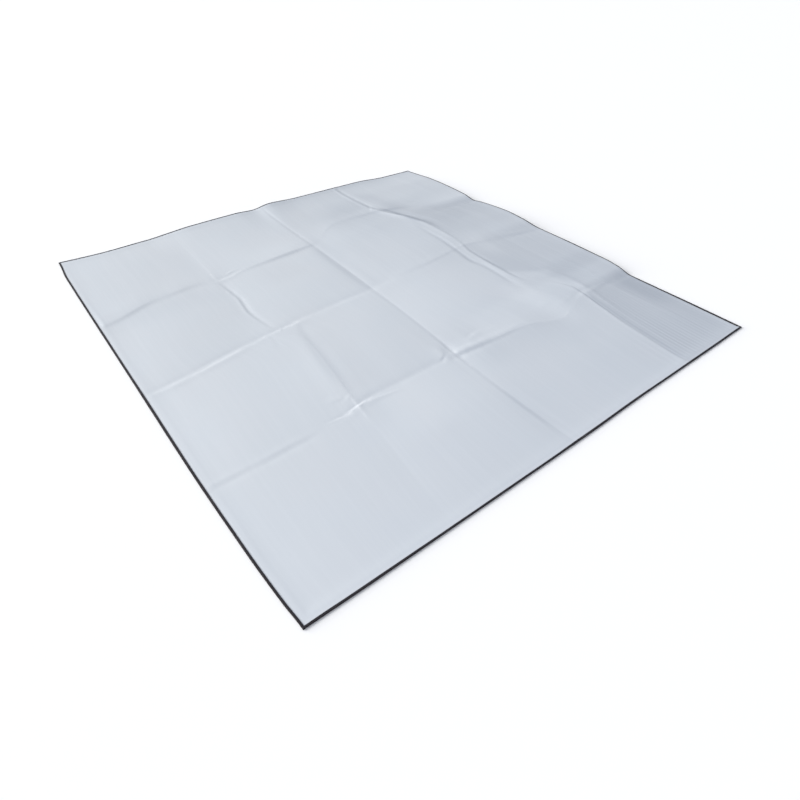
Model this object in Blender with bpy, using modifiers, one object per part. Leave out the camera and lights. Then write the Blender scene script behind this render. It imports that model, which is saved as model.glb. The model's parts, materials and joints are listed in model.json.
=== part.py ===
"""Foil camping mat, opened out and lying on the ground.

One square sheet of thin foam faced with foil, still creased where it was folded into four
each way for carrying, with a length of dark tape folded over each of its four edges.

Metres, +Z up. X runs along the near edge and Y from the near edge to the far one. The origin
is on the ground, under the middle of the mat.
"""

from collections import namedtuple

import bmesh
import bpy

# Driving sizes.
SIDE = 2.0  # the finished mat, measured along any edge
PANELS = 4  # panels between folds, each way
SHEET_THICKNESS = 0.0025
TAPE_THICKNESS = 0.0007
TAPE_WIDTH = 0.008  # how far the tape reaches in over the sheet
TAPE_CORNER = 0.0006  # the flat that stands for the tape's rounded outer corner
FIT_GAP = 0.0004  # left between the sheet and the tape round it
MITRE_SETBACK = 0.0002  # each tape stops this much short of the corner's diagonal

# The sheet's cut edge lies on the tape's lower half, and the ground is reached further in.
EDGE_LIFT = TAPE_THICKNESS + FIT_GAP
LIFT_FLAT = 0.010  # the lift is full this far in from the edge
LIFT_RAMP = 0.036  # and has gone after this much more

PANEL = SIDE / PANELS
SHEET_INSET = TAPE_THICKNESS + FIT_GAP

PLACE_ROUNDS = 4  # rounds in which a point's two coordinates settle on their tables
WELD = 0.00001
SHARP_ANGLE = 0.6  # radians between faces, past which their edge is shaded sharp

# Where the sheet is divided inside a panel, as fractions of it: close together at its folds.
PANEL_STOPS = (0.0, 0.04, 0.12, 0.3, 0.5, 0.7, 0.88, 0.96)
# And in from an outer edge, in metres, in place of the first three of those.
EDGE_STOPS = (SHEET_INSET, 0.012, 0.046)

# An edge or fold line. "along" and "across" place it from the middle of the mat, and "rise" is
# how high it stands. A flank is the slope beside it: "reach" is its width as a fraction of the
# panel and "power" its shape, 1 for a straight slope and more for a foot that eases out.
Row = namedtuple("Row", "along across rise")
Flank = namedtuple("Flank", "reach power")
Line = namedtuple("Line", "name rows before after")

SOFT = Flank(0.40, 2.0)
STRAIGHT = Flank(1.0, 1.0)
EDGE_SLOPE = Flank(0.70, 2.0)

# Lines that run along Y, from the left edge to the right one.
LINES_ALONG_Y = (
    Line("left edge", (
        Row(-1.00, -1.000, 0.0000),
        Row(-0.92, -1.006, 0.0000),
        Row(-0.75, -1.013, 0.0000),
        Row(-0.40, -1.018, 0.0000),
        Row(0.10, -1.016, 0.0000),
        Row(0.50, -1.015, 0.0000),
        Row(0.85, -1.013, 0.0000),
        Row(1.00, -1.004, 0.0000),
    ), SOFT, SOFT),
    Line("left fold", (
        Row(-1.00, -0.530, 0.0000),
        Row(-0.64, -0.490, 0.0000),
        Row(-0.50, -0.475, 0.0020),
        Row(-0.30, -0.445, 0.0050),
        Row(-0.08, -0.420, 0.0040),
        Row(0.04, -0.472, 0.0010),
        Row(0.19, -0.509, 0.0000),
        Row(0.46, -0.500, 0.0000),
        Row(1.00, -0.500, 0.0000),
    ), SOFT, SOFT),
    Line("middle fold", (
        Row(-1.00, -0.030, 0.0000),
        Row(-0.70, -0.030, 0.0030),
        Row(-0.50, -0.020, 0.0000),
        Row(0.00, 0.000, 0.0000),
        Row(0.50, 0.005, 0.0010),
        Row(1.00, 0.000, 0.0030),
    ), SOFT, SOFT),
    Line("right fold", (
        Row(-1.00, 0.622, 0.0000),
        Row(-0.75, 0.634, 0.0080),
        Row(-0.60, 0.660, 0.0110),
        Row(-0.45, 0.685, 0.0120),
        Row(-0.36, 0.640, 0.0120),
        Row(-0.28, 0.550, 0.0160),
        Row(-0.20, 0.530, 0.0210),
        Row(0.00, 0.522, 0.0300),
        Row(0.17, 0.553, 0.0340),
        Row(0.33, 0.553, 0.0330),
        Row(0.45, 0.520, 0.0290),
        Row(0.55, 0.475, 0.0240),
        Row(0.65, 0.443, 0.0200),
        Row(0.80, 0.440, 0.0130),
        Row(1.00, 0.445, 0.0030),
    ), STRAIGHT, STRAIGHT),
    Line("right edge", (
        Row(-1.00, 1.008, 0.0000),
        Row(-0.75, 1.004, 0.0015),
        Row(-0.52, 1.001, 0.0010),
        Row(-0.45, 1.000, 0.0150),
        Row(-0.38, 1.000, 0.0210),
        Row(-0.20, 1.001, 0.0220),
        Row(0.00, 1.001, 0.0200),
        Row(0.10, 1.002, 0.0280),
        Row(0.20, 1.003, 0.0310),
        Row(0.30, 1.000, 0.0260),
        Row(0.40, 1.000, 0.0160),
        Row(0.45, 1.000, 0.0080),
        Row(0.52, 1.000, 0.0170),
        Row(0.65, 1.000, 0.0190),
        Row(0.80, 1.000, 0.0150),
        Row(0.90, 0.999, 0.0060),
        Row(1.00, 0.996, 0.0000),
    ), STRAIGHT, STRAIGHT),
)

# Lines that run along X, from the near edge to the far one.
LINES_ALONG_X = (
    Line("near edge", (
        Row(-1.00, -1.000, 0.0000),
        Row(-0.80, -1.002, 0.0000),
        Row(0.00, -1.004, 0.0000),
        Row(0.35, -1.000, 0.0000),
        Row(0.80, -1.001, 0.0000),
        Row(1.00, -1.000, 0.0000),
    ), SOFT, SOFT),
    Line("near fold", (
        Row(-1.00, -0.520, 0.0000),
        Row(-0.55, -0.510, 0.0000),
        Row(-0.44, -0.490, 0.0020),
        Row(-0.05, -0.480, 0.0000),
        Row(0.10, -0.495, 0.0050),
        Row(0.30, -0.510, 0.0070),
        Row(0.47, -0.560, 0.0030),
        Row(0.69, -0.490, 0.0000),
        Row(1.00, -0.500, 0.0000),
    ), SOFT, SOFT),
    Line("centre fold", (
        Row(-1.00, -0.070, 0.0000),
        Row(-0.65, -0.009, 0.0000),
        Row(-0.48, 0.018, 0.0010),
        Row(0.00, 0.046, 0.0000),
        Row(0.36, 0.060, 0.0020),
        Row(0.52, 0.072, 0.0000),
        Row(0.73, 0.056, 0.0000),
        Row(1.00, 0.020, 0.0000),
    ), SOFT, SOFT),
    Line("far fold", (
        Row(-1.00, 0.410, 0.0000),
        Row(-0.78, 0.470, 0.0000),
        Row(-0.59, 0.490, 0.0000),
        Row(-0.50, 0.470, 0.0000),
        Row(-0.37, 0.490, 0.0000),
        Row(0.00, 0.520, 0.0000),
        Row(0.21, 0.625, 0.0040),
        Row(0.44, 0.600, 0.0040),
        Row(0.62, 0.560, 0.0000),
        Row(0.82, 0.450, 0.0000),
        Row(1.00, 0.450, 0.0000),
    ), SOFT, SOFT),
    Line("far edge", (
        Row(-1.00, 1.007, 0.0000),
        Row(-0.93, 1.001, 0.0000),
        Row(-0.80, 0.994, 0.0000),
        Row(-0.62, 1.000, 0.0000),
        Row(-0.50, 1.000, 0.0070),
        Row(-0.40, 1.000, 0.0130),
        Row(-0.15, 1.000, 0.0160),
        Row(-0.05, 1.000, 0.0090),
        Row(0.05, 1.000, 0.0210),
        Row(0.20, 1.000, 0.0140),
        Row(0.45, 1.000, 0.0110),
        Row(0.62, 1.000, 0.0100),
        Row(0.80, 0.997, 0.0010),
        Row(1.00, 0.997, 0.0000),
    ), EDGE_SLOPE, EDGE_SLOPE),
)

# How far the middle of each panel bows up off the ground: a row for each row of panels, from
# the near edge to the far one.
PanelRow = namedtuple("PanelRow", "left inner_left inner_right right")
PANEL_BOW = (
    PanelRow(0.0000, 0.0000, 0.0000, 0.0000),
    PanelRow(0.0020, 0.0030, 0.0030, 0.0000),
    PanelRow(0.0030, 0.0030, 0.0040, 0.0000),
    PanelRow(0.0020, 0.0020, 0.0040, 0.0030),
)

# Finishes: colour, metallic and roughness.
Finish = namedtuple("Finish", "name colour metallic roughness")
FOIL = Finish("foil", (0.80, 0.82, 0.87, 1.0), 0.75, 0.42)
TAPE = Finish("tape", (0.030, 0.024, 0.030, 1.0), 0.0, 0.80)


def clear_scene():
    """Remove every object that is in the scene."""
    for old in list(bpy.data.objects):
        bpy.data.objects.remove(old, do_unlink=True)


def make_material(finish):
    """Make a plain Principled material."""
    material = bpy.data.materials.new(finish.name)
    material.use_nodes = True
    shader = material.node_tree.nodes["Principled BSDF"]
    shader.inputs["Base Color"].default_value = finish.colour
    shader.inputs["Metallic"].default_value = finish.metallic
    shader.inputs["Roughness"].default_value = finish.roughness
    return material


def slope_at(rows, index, column):
    """Slope of a column at one row, level at its peaks and dips so that it never overshoots."""
    if index in (0, len(rows) - 1):
        return 0.0
    before, here, after = rows[index - 1], rows[index], rows[index + 1]
    rising = (getattr(here, column) - getattr(before, column)) / (here.along - before.along)
    falling = (getattr(after, column) - getattr(here, column)) / (after.along - here.along)
    if rising * falling <= 0.0:
        return 0.0
    return 2.0 * rising * falling / (rising + falling)


def read_row(rows, column, along):
    """Read a column of a table at any place, on a smooth curve through its rows."""
    along = min(max(along, rows[0].along), rows[-1].along)
    index = 0
    while index < len(rows) - 2 and along > rows[index + 1].along:
        index += 1
    start, end = rows[index], rows[index + 1]
    span = end.along - start.along
    part = (along - start.along) / span
    rest = 1.0 - part
    from_start = getattr(start, column) * (1.0 + 2.0 * part) * rest * rest
    from_end = getattr(end, column) * (3.0 - 2.0 * part) * part * part
    bend = slope_at(rows, index, column) * rest - slope_at(rows, index + 1, column) * part
    return from_start + from_end + span * part * rest * bend


def flank_height(flank, fraction):
    """Height of a flank, 1 at its line and 0 at its foot."""
    return max(0.0, 1.0 - fraction / flank.reach) ** flank.power


def split_panels(flat):
    """Panel number and the fraction across it, for a distance over the flat sheet."""
    panel = min(int(flat / PANEL), PANELS - 1)
    return panel, flat / PANEL - panel


def between_lines(lines, panel, fraction, column, along):
    """A column's value between a panel's two lines."""
    start = read_row(lines[panel].rows, column, along)
    end = read_row(lines[panel + 1].rows, column, along)
    return start + (end - start) * fraction


def ridge_height(lines, panel, fraction, along):
    """Height given by the two lines beside a panel."""
    start, end = lines[panel], lines[panel + 1]
    from_start = read_row(start.rows, "rise", along) * flank_height(start.after, fraction)
    from_end = read_row(end.rows, "rise", along) * flank_height(end.before, 1.0 - fraction)
    return from_start + from_end


def edge_lift(flat_x, flat_y):
    """Lift of the sheet beside its taped edges."""
    inward = min(flat_x, flat_y, SIDE - flat_x, SIDE - flat_y)
    part = min(max((inward - LIFT_FLAT) / LIFT_RAMP, 0.0), 1.0)
    return EDGE_LIFT * (1.0 - part * part * (3.0 - 2.0 * part))


def hump(fraction):
    """A smooth rise and fall across a panel: 0 at its sides and 1 in its middle."""
    return 4.0 * fraction * (1.0 - fraction)


def place(flat_x, flat_y, above):
    """Where a point of the flat sheet lies, some way above the sheet's underside.

    flat_x and flat_y are measured on the flat sheet, from its near left corner.
    """
    panel_x, across_x = split_panels(flat_x)
    panel_y, across_y = split_panels(flat_y)
    x = flat_x - SIDE / 2.0
    y = flat_y - SIDE / 2.0
    for _ in range(PLACE_ROUNDS):
        x = between_lines(LINES_ALONG_Y, panel_x, across_x, "across", y)
        y = between_lines(LINES_ALONG_X, panel_y, across_y, "across", x)
    folds = ridge_height(LINES_ALONG_Y, panel_x, across_x, y)
    folds += ridge_height(LINES_ALONG_X, panel_y, across_y, x)
    bow = PANEL_BOW[panel_y][panel_x] * hump(across_x) * hump(across_y)
    return x, y, folds + bow + edge_lift(flat_x, flat_y) + above


def sheet_stops():
    """Where the sheet is divided along either side, on the flat sheet."""
    middle = [panel * PANEL + stop * PANEL for panel in range(PANELS) for stop in PANEL_STOPS]
    middle = middle[len(EDGE_STOPS):1 - len(EDGE_STOPS)]
    return list(EDGE_STOPS) + middle + [SIDE - stop for stop in reversed(EDGE_STOPS)]


def tape_section():
    """The tape's section as (inward, above) points, above being from the sheet's underside."""
    low = -EDGE_LIFT
    high = SHEET_THICKNESS + EDGE_LIFT
    return (
        (TAPE_WIDTH, low),
        (TAPE_CORNER, low),
        (0.0, low + TAPE_CORNER),
        (0.0, high - TAPE_CORNER),
        (TAPE_CORNER, high),
        (TAPE_WIDTH, high),
        (TAPE_WIDTH, high - TAPE_THICKNESS),
        (TAPE_THICKNESS, high - TAPE_THICKNESS),
        (TAPE_THICKNESS, low + TAPE_THICKNESS),
        (TAPE_WIDTH, low + TAPE_THICKNESS),
    )


def lattice(columns, rows, put):
    """A grid of quads whose corners are put in place by column and row number."""
    mesh = bmesh.new()
    bmesh.ops.create_grid(mesh, x_segments=columns - 1, y_segments=rows - 1, size=1.0)
    for corner in mesh.verts:
        column = round((corner.co.x + 1.0) / 2.0 * (columns - 1))
        row = round((corner.co.y + 1.0) / 2.0 * (rows - 1))
        corner.co = put(column, row)
    return mesh


def add_object(name, mesh, material, collection):
    """Make an object of a finished bmesh."""
    data = bpy.data.meshes.new(name)
    mesh.to_mesh(data)
    mesh.free()
    data.materials.append(material)
    data.shade_smooth()
    data.set_sharp_from_angle(angle=SHARP_ANGLE)
    made = bpy.data.objects.new(name, data)
    collection.objects.link(made)
    return made


def make_sheet(collection, material):
    """The foil-faced foam sheet: its underside as a surface, thickened upwards."""
    stops = sheet_stops()
    count = len(stops)
    mesh = lattice(count, count, lambda column, row: place(stops[column], stops[row], 0.0))
    sheet = add_object("mat_sheet", mesh, material, collection)
    thicken = sheet.modifiers.new("thickness", "SOLIDIFY")
    thicken.thickness = SHEET_THICKNESS
    thicken.offset = 1.0
    thicken.use_even_offset = True
    return sheet


def make_tape(name, to_flat, collection, material):
    """A length of tape over one edge, mitred at both ends.

    to_flat turns a distance along the edge and a distance inward from it into a place on the
    flat sheet.
    """
    section = tape_section()
    stops = sheet_stops()

    def put(column, row):
        inward, above = section[row % len(section)]
        mitre = inward + MITRE_SETBACK
        along = stops[column]
        if column == 0:
            along = mitre
        if column == len(stops) - 1:
            along = SIDE - mitre
        flat_x, flat_y = to_flat(along, inward)
        return place(flat_x, flat_y, above)

    mesh = lattice(len(stops), len(section) + 1, put)
    bmesh.ops.remove_doubles(mesh, verts=mesh.verts, dist=WELD)
    bmesh.ops.holes_fill(mesh, edges=mesh.edges, sides=0)
    bmesh.ops.recalc_face_normals(mesh, faces=mesh.faces)
    return add_object(name, mesh, material, collection)


def make_tapes(collection, material):
    """The four lengths of tape."""
    edges = {
        "tape_near": lambda along, inward: (along, inward),
        "tape_far": lambda along, inward: (along, SIDE - inward),
        "tape_left": lambda along, inward: (inward, along),
        "tape_right": lambda along, inward: (SIDE - inward, along),
    }
    return [make_tape(name, to_flat, collection, material) for name, to_flat in edges.items()]


def centre_on_origin(pieces):
    """Move the pieces together so that the origin is under the middle of their box."""
    bpy.context.view_layer.update()
    corners = [piece.matrix_world @ point.co for piece in pieces for point in piece.data.vertices]
    middle_x = (min(point.x for point in corners) + max(point.x for point in corners)) / 2.0
    middle_y = (min(point.y for point in corners) + max(point.y for point in corners)) / 2.0
    for piece in pieces:
        piece.location = (-middle_x, -middle_y, 0.0)


def main():
    """Build the mat."""
    clear_scene()
    collection = bpy.data.collections.new("foil_camping_mat")
    bpy.context.scene.collection.children.link(collection)
    pieces = [make_sheet(collection, make_material(FOIL))]
    pieces += make_tapes(collection, make_material(TAPE))
    centre_on_origin(pieces)


main()
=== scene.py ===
"""Looks of the foil camping mat: creased foil-faced foam, taped and stitched round its edges.

Metres, +Z up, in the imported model's own frame. X runs along the near edge and Y from the near edge
to the far one, and the origin is on the ground under the middle of the mat.
"""

from __future__ import annotations

import json
import logging
import math
from bisect import bisect_left
from collections.abc import Iterable, Mapping, Sequence
from dataclasses import dataclass, field
from enum import Enum
from functools import cached_property
from typing import NamedTuple

import bmesh
import bpy
from mathutils import Matrix, Vector, noise

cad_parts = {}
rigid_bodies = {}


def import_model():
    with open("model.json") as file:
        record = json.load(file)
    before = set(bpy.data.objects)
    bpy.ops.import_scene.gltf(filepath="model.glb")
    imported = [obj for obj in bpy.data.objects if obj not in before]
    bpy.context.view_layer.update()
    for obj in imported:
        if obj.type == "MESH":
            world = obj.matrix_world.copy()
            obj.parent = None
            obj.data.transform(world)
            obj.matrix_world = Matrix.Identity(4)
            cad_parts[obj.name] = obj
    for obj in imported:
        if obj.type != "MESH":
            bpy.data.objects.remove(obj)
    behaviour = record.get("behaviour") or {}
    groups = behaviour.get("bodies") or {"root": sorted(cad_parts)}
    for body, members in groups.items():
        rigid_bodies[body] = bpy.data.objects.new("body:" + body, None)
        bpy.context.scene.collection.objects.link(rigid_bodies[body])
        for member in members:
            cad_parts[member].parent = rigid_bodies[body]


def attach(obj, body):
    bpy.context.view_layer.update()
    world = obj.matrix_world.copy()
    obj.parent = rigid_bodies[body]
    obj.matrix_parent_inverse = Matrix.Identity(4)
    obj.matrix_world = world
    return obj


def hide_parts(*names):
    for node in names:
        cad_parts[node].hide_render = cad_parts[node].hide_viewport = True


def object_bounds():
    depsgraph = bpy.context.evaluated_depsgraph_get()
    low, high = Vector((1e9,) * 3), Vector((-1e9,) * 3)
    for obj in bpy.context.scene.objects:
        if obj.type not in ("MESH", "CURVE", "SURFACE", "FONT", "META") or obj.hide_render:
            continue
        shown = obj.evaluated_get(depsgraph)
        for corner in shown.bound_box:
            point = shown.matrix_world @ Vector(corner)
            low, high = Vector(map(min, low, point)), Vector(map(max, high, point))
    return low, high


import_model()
CAD_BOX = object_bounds()

LOG = logging.getLogger("foil_camping_mat")
BODY = "root"
MM = 0.001
WELD = 0.01 * MM
SHARP_ANGLE = math.radians(40.0)
# Two points of a grid are the same where their places agree to this many digits.
PLACE_DIGITS = 5

# The map and the three numbers that the sheet's points carry for its finish: wear, which also carries a
# highlight painted beside the tape; shade and light painted into the foil's colour; and ribs.
FLAT_MAP = "flat"
WEAR_AND_HIGHLIGHT = "wear"
PAINTED_SHADE_AND_LIGHT = "painted_shade_and_light"
RIBBED = "ribbed"

Colour = tuple[float, float, float, float]
Triple = tuple[float, float, float]


# ---------------------------------------------------------------------------------------------
# The mat's shape: its edges, its folds and what the folds press into it
# ---------------------------------------------------------------------------------------------


def smoothstep(value: float, start: float, end: float) -> float:
    """Ease from 0 at start to 1 at end.

    Args:
        value: Where to read the ramp.
        start: Where it leaves 0.
        end: Where it reaches 1.

    Returns:
        The ramp's height there.
    """
    part = min(max((value - start) / (end - start), 0.0), 1.0)
    return part * part * (3.0 - 2.0 * part)


class Ramp(NamedTuple):
    """A stretch over which something eases from 0 to 1."""

    start: float
    end: float

    def at(self, value: float) -> float:
        """Its height at a value."""
        return smoothstep(value, self.start, self.end)


def bell(distance: float, width: float) -> float:
    """Height of a bell of the given half width, 1 at its middle."""
    return math.exp(-((distance / width) ** 2))


def roll(distance: float, width: float) -> float:
    """An odd ripple: a slope through 0 whose ends, about 1 high, sink back over a width or two."""
    part = distance / width
    return part * math.exp(0.5 * (1.0 - part * part))


@dataclass(frozen=True)
class Curve:
    """A smooth curve through points, level at their peaks and dips so that it never overshoots.

    Attributes:
        stations: Where the points stand, rising.
        values: The curve's value at each.
    """

    stations: tuple[float, ...]
    values: tuple[float, ...]

    @cached_property
    def slopes(self) -> tuple[float, ...]:
        """The curve's slope at each point.

        Returns:
            The slopes, in the points' order.
        """
        pairs = list(zip(self.stations, self.values))
        falls = [(b[1] - a[1]) / (b[0] - a[0]) for a, b in zip(pairs, pairs[1:])]
        inner = [2.0 * a * b / (a + b) if a * b > 0.0 else 0.0 for a, b in zip(falls, falls[1:])]
        return (0.0, *inner, 0.0)

    def at(self, along: float) -> float:
        """Read the curve.

        Args:
            along: Where to read it; its ends carry on level.

        Returns:
            The value there.
        """
        along = min(max(along, self.stations[0]), self.stations[-1])
        index = min(max(bisect_left(self.stations, along) - 1, 0), len(self.stations) - 2)
        span = self.stations[index + 1] - self.stations[index]
        part = (along - self.stations[index]) / span
        rest = 1.0 - part
        from_start = self.values[index] * (1.0 + 2.0 * part) * rest * rest
        from_end = self.values[index + 1] * (3.0 - 2.0 * part) * part * part
        bend = self.slopes[index] * rest - self.slopes[index + 1] * part
        return from_start + from_end + span * part * rest * bend


def curves_of(rows: Sequence[NamedTuple]) -> dict[str, Curve]:
    """Make a curve of each column of a table.

    Args:
        rows: Its rows, each of which stands at its "along", the first of its numbers.

    Returns:
        The curves of the other numbers, by name.
    """
    stations = tuple(row.along for row in rows)
    names = rows[0]._fields[1:]
    return {name: Curve(stations, tuple(getattr(row, name) for row in rows)) for name in names}


def read_all(curves: Mapping[str, Curve], along: float) -> dict[str, float]:
    """Read each of a table's curves at one place."""
    return {name: curve.at(along) for name, curve in curves.items()}


class Unevenness(NamedTuple):
    """Noise over two numbers.

    Attributes:
        first_scale: Its waves to the unit along the first number.
        second_scale: And along the second.
        height: How far it swings, at most, to either side of 0.
        layer: Where in the noise it lies.
    """

    first_scale: float
    second_scale: float
    height: float
    layer: float = 0.0

    def at(self, first: float, second: float, layer: float = 0.0) -> float:
        """Read the noise.

        Args:
            first: The first number.
            second: The second.
            layer: What is added to its own layer.

        Returns:
            How far it swings there.
        """
        place = (first * self.first_scale, second * self.second_scale, self.layer + layer)
        return self.height * noise.noise(Vector(place))


class Row(NamedTuple):
    """A station on an edge or fold: its place along and across the mat, and how high it stands."""

    along: float
    across: float
    rise: float = 0.0


class Press(NamedTuple):
    """What a fold has pressed into the sheet at one station, in millimetres.

    crest is a ridge where it is above 0 and a trough below it, and step is the height gained from
    one side of the fold to the other. wear is how scuffed the foil is, from 0 to 1. slack is like
    crest and sag like step, but several times as wide.
    """

    along: float
    crest: float
    step: float
    wear: float
    slack: float = 0.0
    sag: float = 0.0


@dataclass(frozen=True)
class Flank:
    """The slope beside a line: its width as a share of a panel, and how its foot eases out."""

    reach: float
    power: float

    def height(self, fraction: float) -> float:
        """Height at a fraction of the panel away from the line, 1 at the line itself."""
        return max(0.0, 1.0 - fraction / self.reach) ** self.power


SOFT = Flank(0.40, 2.0)
STRAIGHT = Flank(1.0, 1.0)
EDGE_SLOPE = Flank(0.70, 2.0)
UNPRESSED = (Press(-1.0, 0.0, 0.0, 0.0), Press(1.0, 0.0, 0.0, 0.0))


@dataclass(frozen=True)
class Section:
    """How wide a fold's creases are, and how far past the fold they lie, in metres.

    Attributes:
        crest: Half width of the sharp ridge or trough.
        step: Half width of the sharp step.
        offset: How far past the fold both lie.
        slack_before: Half width of the wide ridge or trough, on its near or left side.
        slack_after: The same, on its other side.
        sag: Half width of the wide step.
        slack_offset: How far past the fold the two wide ones lie.
        widths: Past this many half widths of the wide ones nothing is pressed.
    """

    crest: float = 6.0 * MM
    step: float = 8.0 * MM
    offset: float = 0.0
    slack_before: float = 24.0 * MM
    slack_after: float = 24.0 * MM
    sag: float = 24.0 * MM
    slack_offset: float = 0.0
    widths: float = 2.6

    @cached_property
    def reach(self) -> float:
        """Past this distance from its line a fold presses nothing."""
        widest = max(self.slack_before, self.slack_after, self.sag)
        return abs(self.slack_offset) + self.widths * widest


@dataclass(frozen=True)
class Line:
    """An edge or a fold that runs from one side of the mat to the other.

    Attributes:
        rows: Its stations.
        press: What is pressed into the sheet along it.
        before: The flank towards the line before it.
        after: The flank towards the line after it.
        section: How wide its creases are.
    """

    rows: tuple[Row, ...]
    press: tuple[Press, ...] = UNPRESSED
    before: Flank = SOFT
    after: Flank = SOFT
    section: Section = Section()

    @cached_property
    def places(self) -> dict[str, Curve]:
        """Its stations as curves."""
        return curves_of(self.rows)

    @cached_property
    def across(self) -> Curve:
        """Where the line lies."""
        return self.places["across"]

    @cached_property
    def rise(self) -> Curve:
        """How high the line stands."""
        return self.places["rise"]

    @cached_property
    def pressed(self) -> dict[str, Curve]:
        """What is pressed into the sheet along it, as curves."""
        return curves_of(self.press)


# Lines that run along Y, from the left edge to the right one.
LEFT_EDGE = Line((
    Row(-1.00, -1.000),
    Row(-0.92, -1.006),
    Row(-0.75, -1.013),
    Row(-0.40, -1.018),
    Row(0.10, -1.016),
    Row(0.50, -1.015),
    Row(0.85, -1.013),
    Row(1.00, -1.004),
))
LEFT_FOLD = Line(
    rows=(
        Row(-1.00, -0.530),
        Row(-0.64, -0.490),
        Row(-0.50, -0.475, 0.0020),
        Row(-0.30, -0.445, 0.0050),
        Row(-0.10, -0.420, 0.0040),
        Row(-0.01, -0.460, 0.0020),
        Row(0.05, -0.490, 0.0010),
        Row(0.19, -0.505),
        Row(0.30, -0.492),
        Row(0.46, -0.502),
        Row(1.00, -0.500),
    ),
    press=(
        Press(-1.00, 0.0, 0.0, 0.0),
        Press(-0.60, 0.0, 0.1, 0.1, 0.0, 0.2),
        Press(-0.48, 0.3, 0.3, 0.7),
        Press(-0.42, 0.0, -0.4, 0.3, 0.0, -0.8),
        Press(-0.30, 0.0, 0.0, 0.1, 0.0, -1.3),
        Press(-0.20, 0.0, 0.0, 0.1, 0.0, -1.1),
        Press(-0.10, 0.0, 0.0, 0.1, 0.0, -0.3),
        Press(0.00, 0.0, -0.2, 0.2),
        Press(0.10, -0.2, -0.8, 0.1, -0.3, -0.3),
        Press(0.19, -0.4, -1.6, 0.2, -0.4),
        Press(0.32, -0.4, -1.8, 0.3, -0.4),
        Press(0.42, -0.2, -0.8, 0.2, -0.8, -0.8),
        Press(0.50, 0.2, 0.3, 0.5),
        Press(0.60, 0.0, 0.2, 0.1, 0.2, 0.5),
        Press(0.78, 0.0, 0.1, 0.0, 0.0, 0.5),
        Press(1.00, 0.0, 0.0, 0.0, 0.0, 0.2),
    ),
)
MIDDLE_FOLD = Line(
    rows=(
        Row(-1.00, -0.030),
        Row(-0.70, -0.030, 0.0030),
        Row(-0.50, -0.020),
        Row(0.00, 0.000),
        Row(0.50, 0.005, 0.0010),
        Row(1.00, 0.000, 0.0030),
    ),
    press=(
        Press(-1.00, 0.0, 0.0, 0.1),
        Press(-0.95, -0.1, -0.1, 0.1),
        Press(-0.85, -0.3, -0.4, 0.1),
        Press(-0.75, -0.5, -0.4, 0.2),
        Press(-0.65, -0.3, -0.2, 0.3),
        Press(-0.55, -0.2, -0.4, 0.4),
        Press(-0.46, -0.9, -1.2, 0.6, 0.4),
        Press(-0.38, -0.5, -0.5, 0.2, 0.3),
        Press(-0.20, -0.1, -0.2, 0.1),
        Press(0.00, -0.3, -0.2, 0.1),
        Press(0.10, -0.1, -0.5, 0.0),
        Press(0.22, -0.1, -0.4, 0.0),
        Press(0.35, -0.1, -0.3, 0.0),
        Press(0.50, -0.2, -0.7, 0.2),
        Press(0.60, -0.5, -0.6, 0.3),
        Press(0.72, -0.4, -0.5, 0.2),
        Press(0.86, -0.5, -0.3, 0.2, 0.2),
        Press(0.92, -0.7, -0.4, 0.2, 0.2),
        Press(1.00, -0.6, -0.4, 0.2),
    ),
    section=Section(crest=8.0 * MM, step=10.0 * MM, offset=-7.0 * MM),
)
RIGHT_FOLD = Line(
    rows=(
        Row(-1.00, 0.622),
        Row(-0.75, 0.634, 0.0080),
        Row(-0.60, 0.660, 0.0110),
        Row(-0.45, 0.685, 0.0120),
        Row(-0.36, 0.640, 0.0120),
        Row(-0.28, 0.550, 0.0160),
        Row(-0.20, 0.530, 0.0210),
        Row(0.00, 0.522, 0.0300),
        Row(0.17, 0.553, 0.0340),
        Row(0.33, 0.553, 0.0330),
        Row(0.45, 0.520, 0.0290),
        Row(0.55, 0.475, 0.0240),
        Row(0.65, 0.443, 0.0200),
        Row(0.80, 0.440, 0.0130),
        Row(1.00, 0.445, 0.0030),
    ),
    press=(
        Press(-1.00, 0.0, -0.6, 0.1),
        Press(-0.90, -0.2, -0.8, 0.1),
        Press(-0.80, -0.1, -0.8, 0.1),
        Press(-0.70, -0.2, -0.9, 0.1),
        Press(-0.60, -0.6, -1.3, 0.1),
        Press(-0.50, -0.5, -1.1, 0.2),
        Press(-0.42, 0.0, -1.0, 0.3, 0.0, -1.0),
        Press(-0.33, 0.0, -0.2, 0.3, 0.0, -0.6),
        Press(-0.23, 0.2, -1.4, 0.2),
        Press(-0.13, 0.2, -2.8, 0.2),
        Press(-0.03, 0.0, -2.1, 0.2),
        Press(0.08, 0.5, -0.2, 0.3),
        Press(0.17, 0.3, -1.1, 0.2, 0.0, -0.3),
        Press(0.27, 0.2, -0.9, 0.2, 0.0, -0.8),
        Press(0.37, 0.0, -2.4, 0.3, 0.0, -4.0),
        Press(0.46, 0.0, -3.8, 0.3, 0.0, -8.0),
        Press(0.56, 0.0, -3.0, 0.2, 0.0, -5.0),
        Press(0.66, 0.0, -1.4, 0.1, 0.0, -1.0),
        Press(0.80, -0.4, -2.4, 0.1),
        Press(0.90, -0.4, -2.4, 0.1),
        Press(1.00, 0.0, -1.6, 0.0),
    ),
    before=STRAIGHT,
    after=STRAIGHT,
    section=Section(
        crest=8.0 * MM,
        step=9.5 * MM,
        offset=8.0 * MM,
        slack_offset=25.0 * MM,
    ),
)
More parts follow.
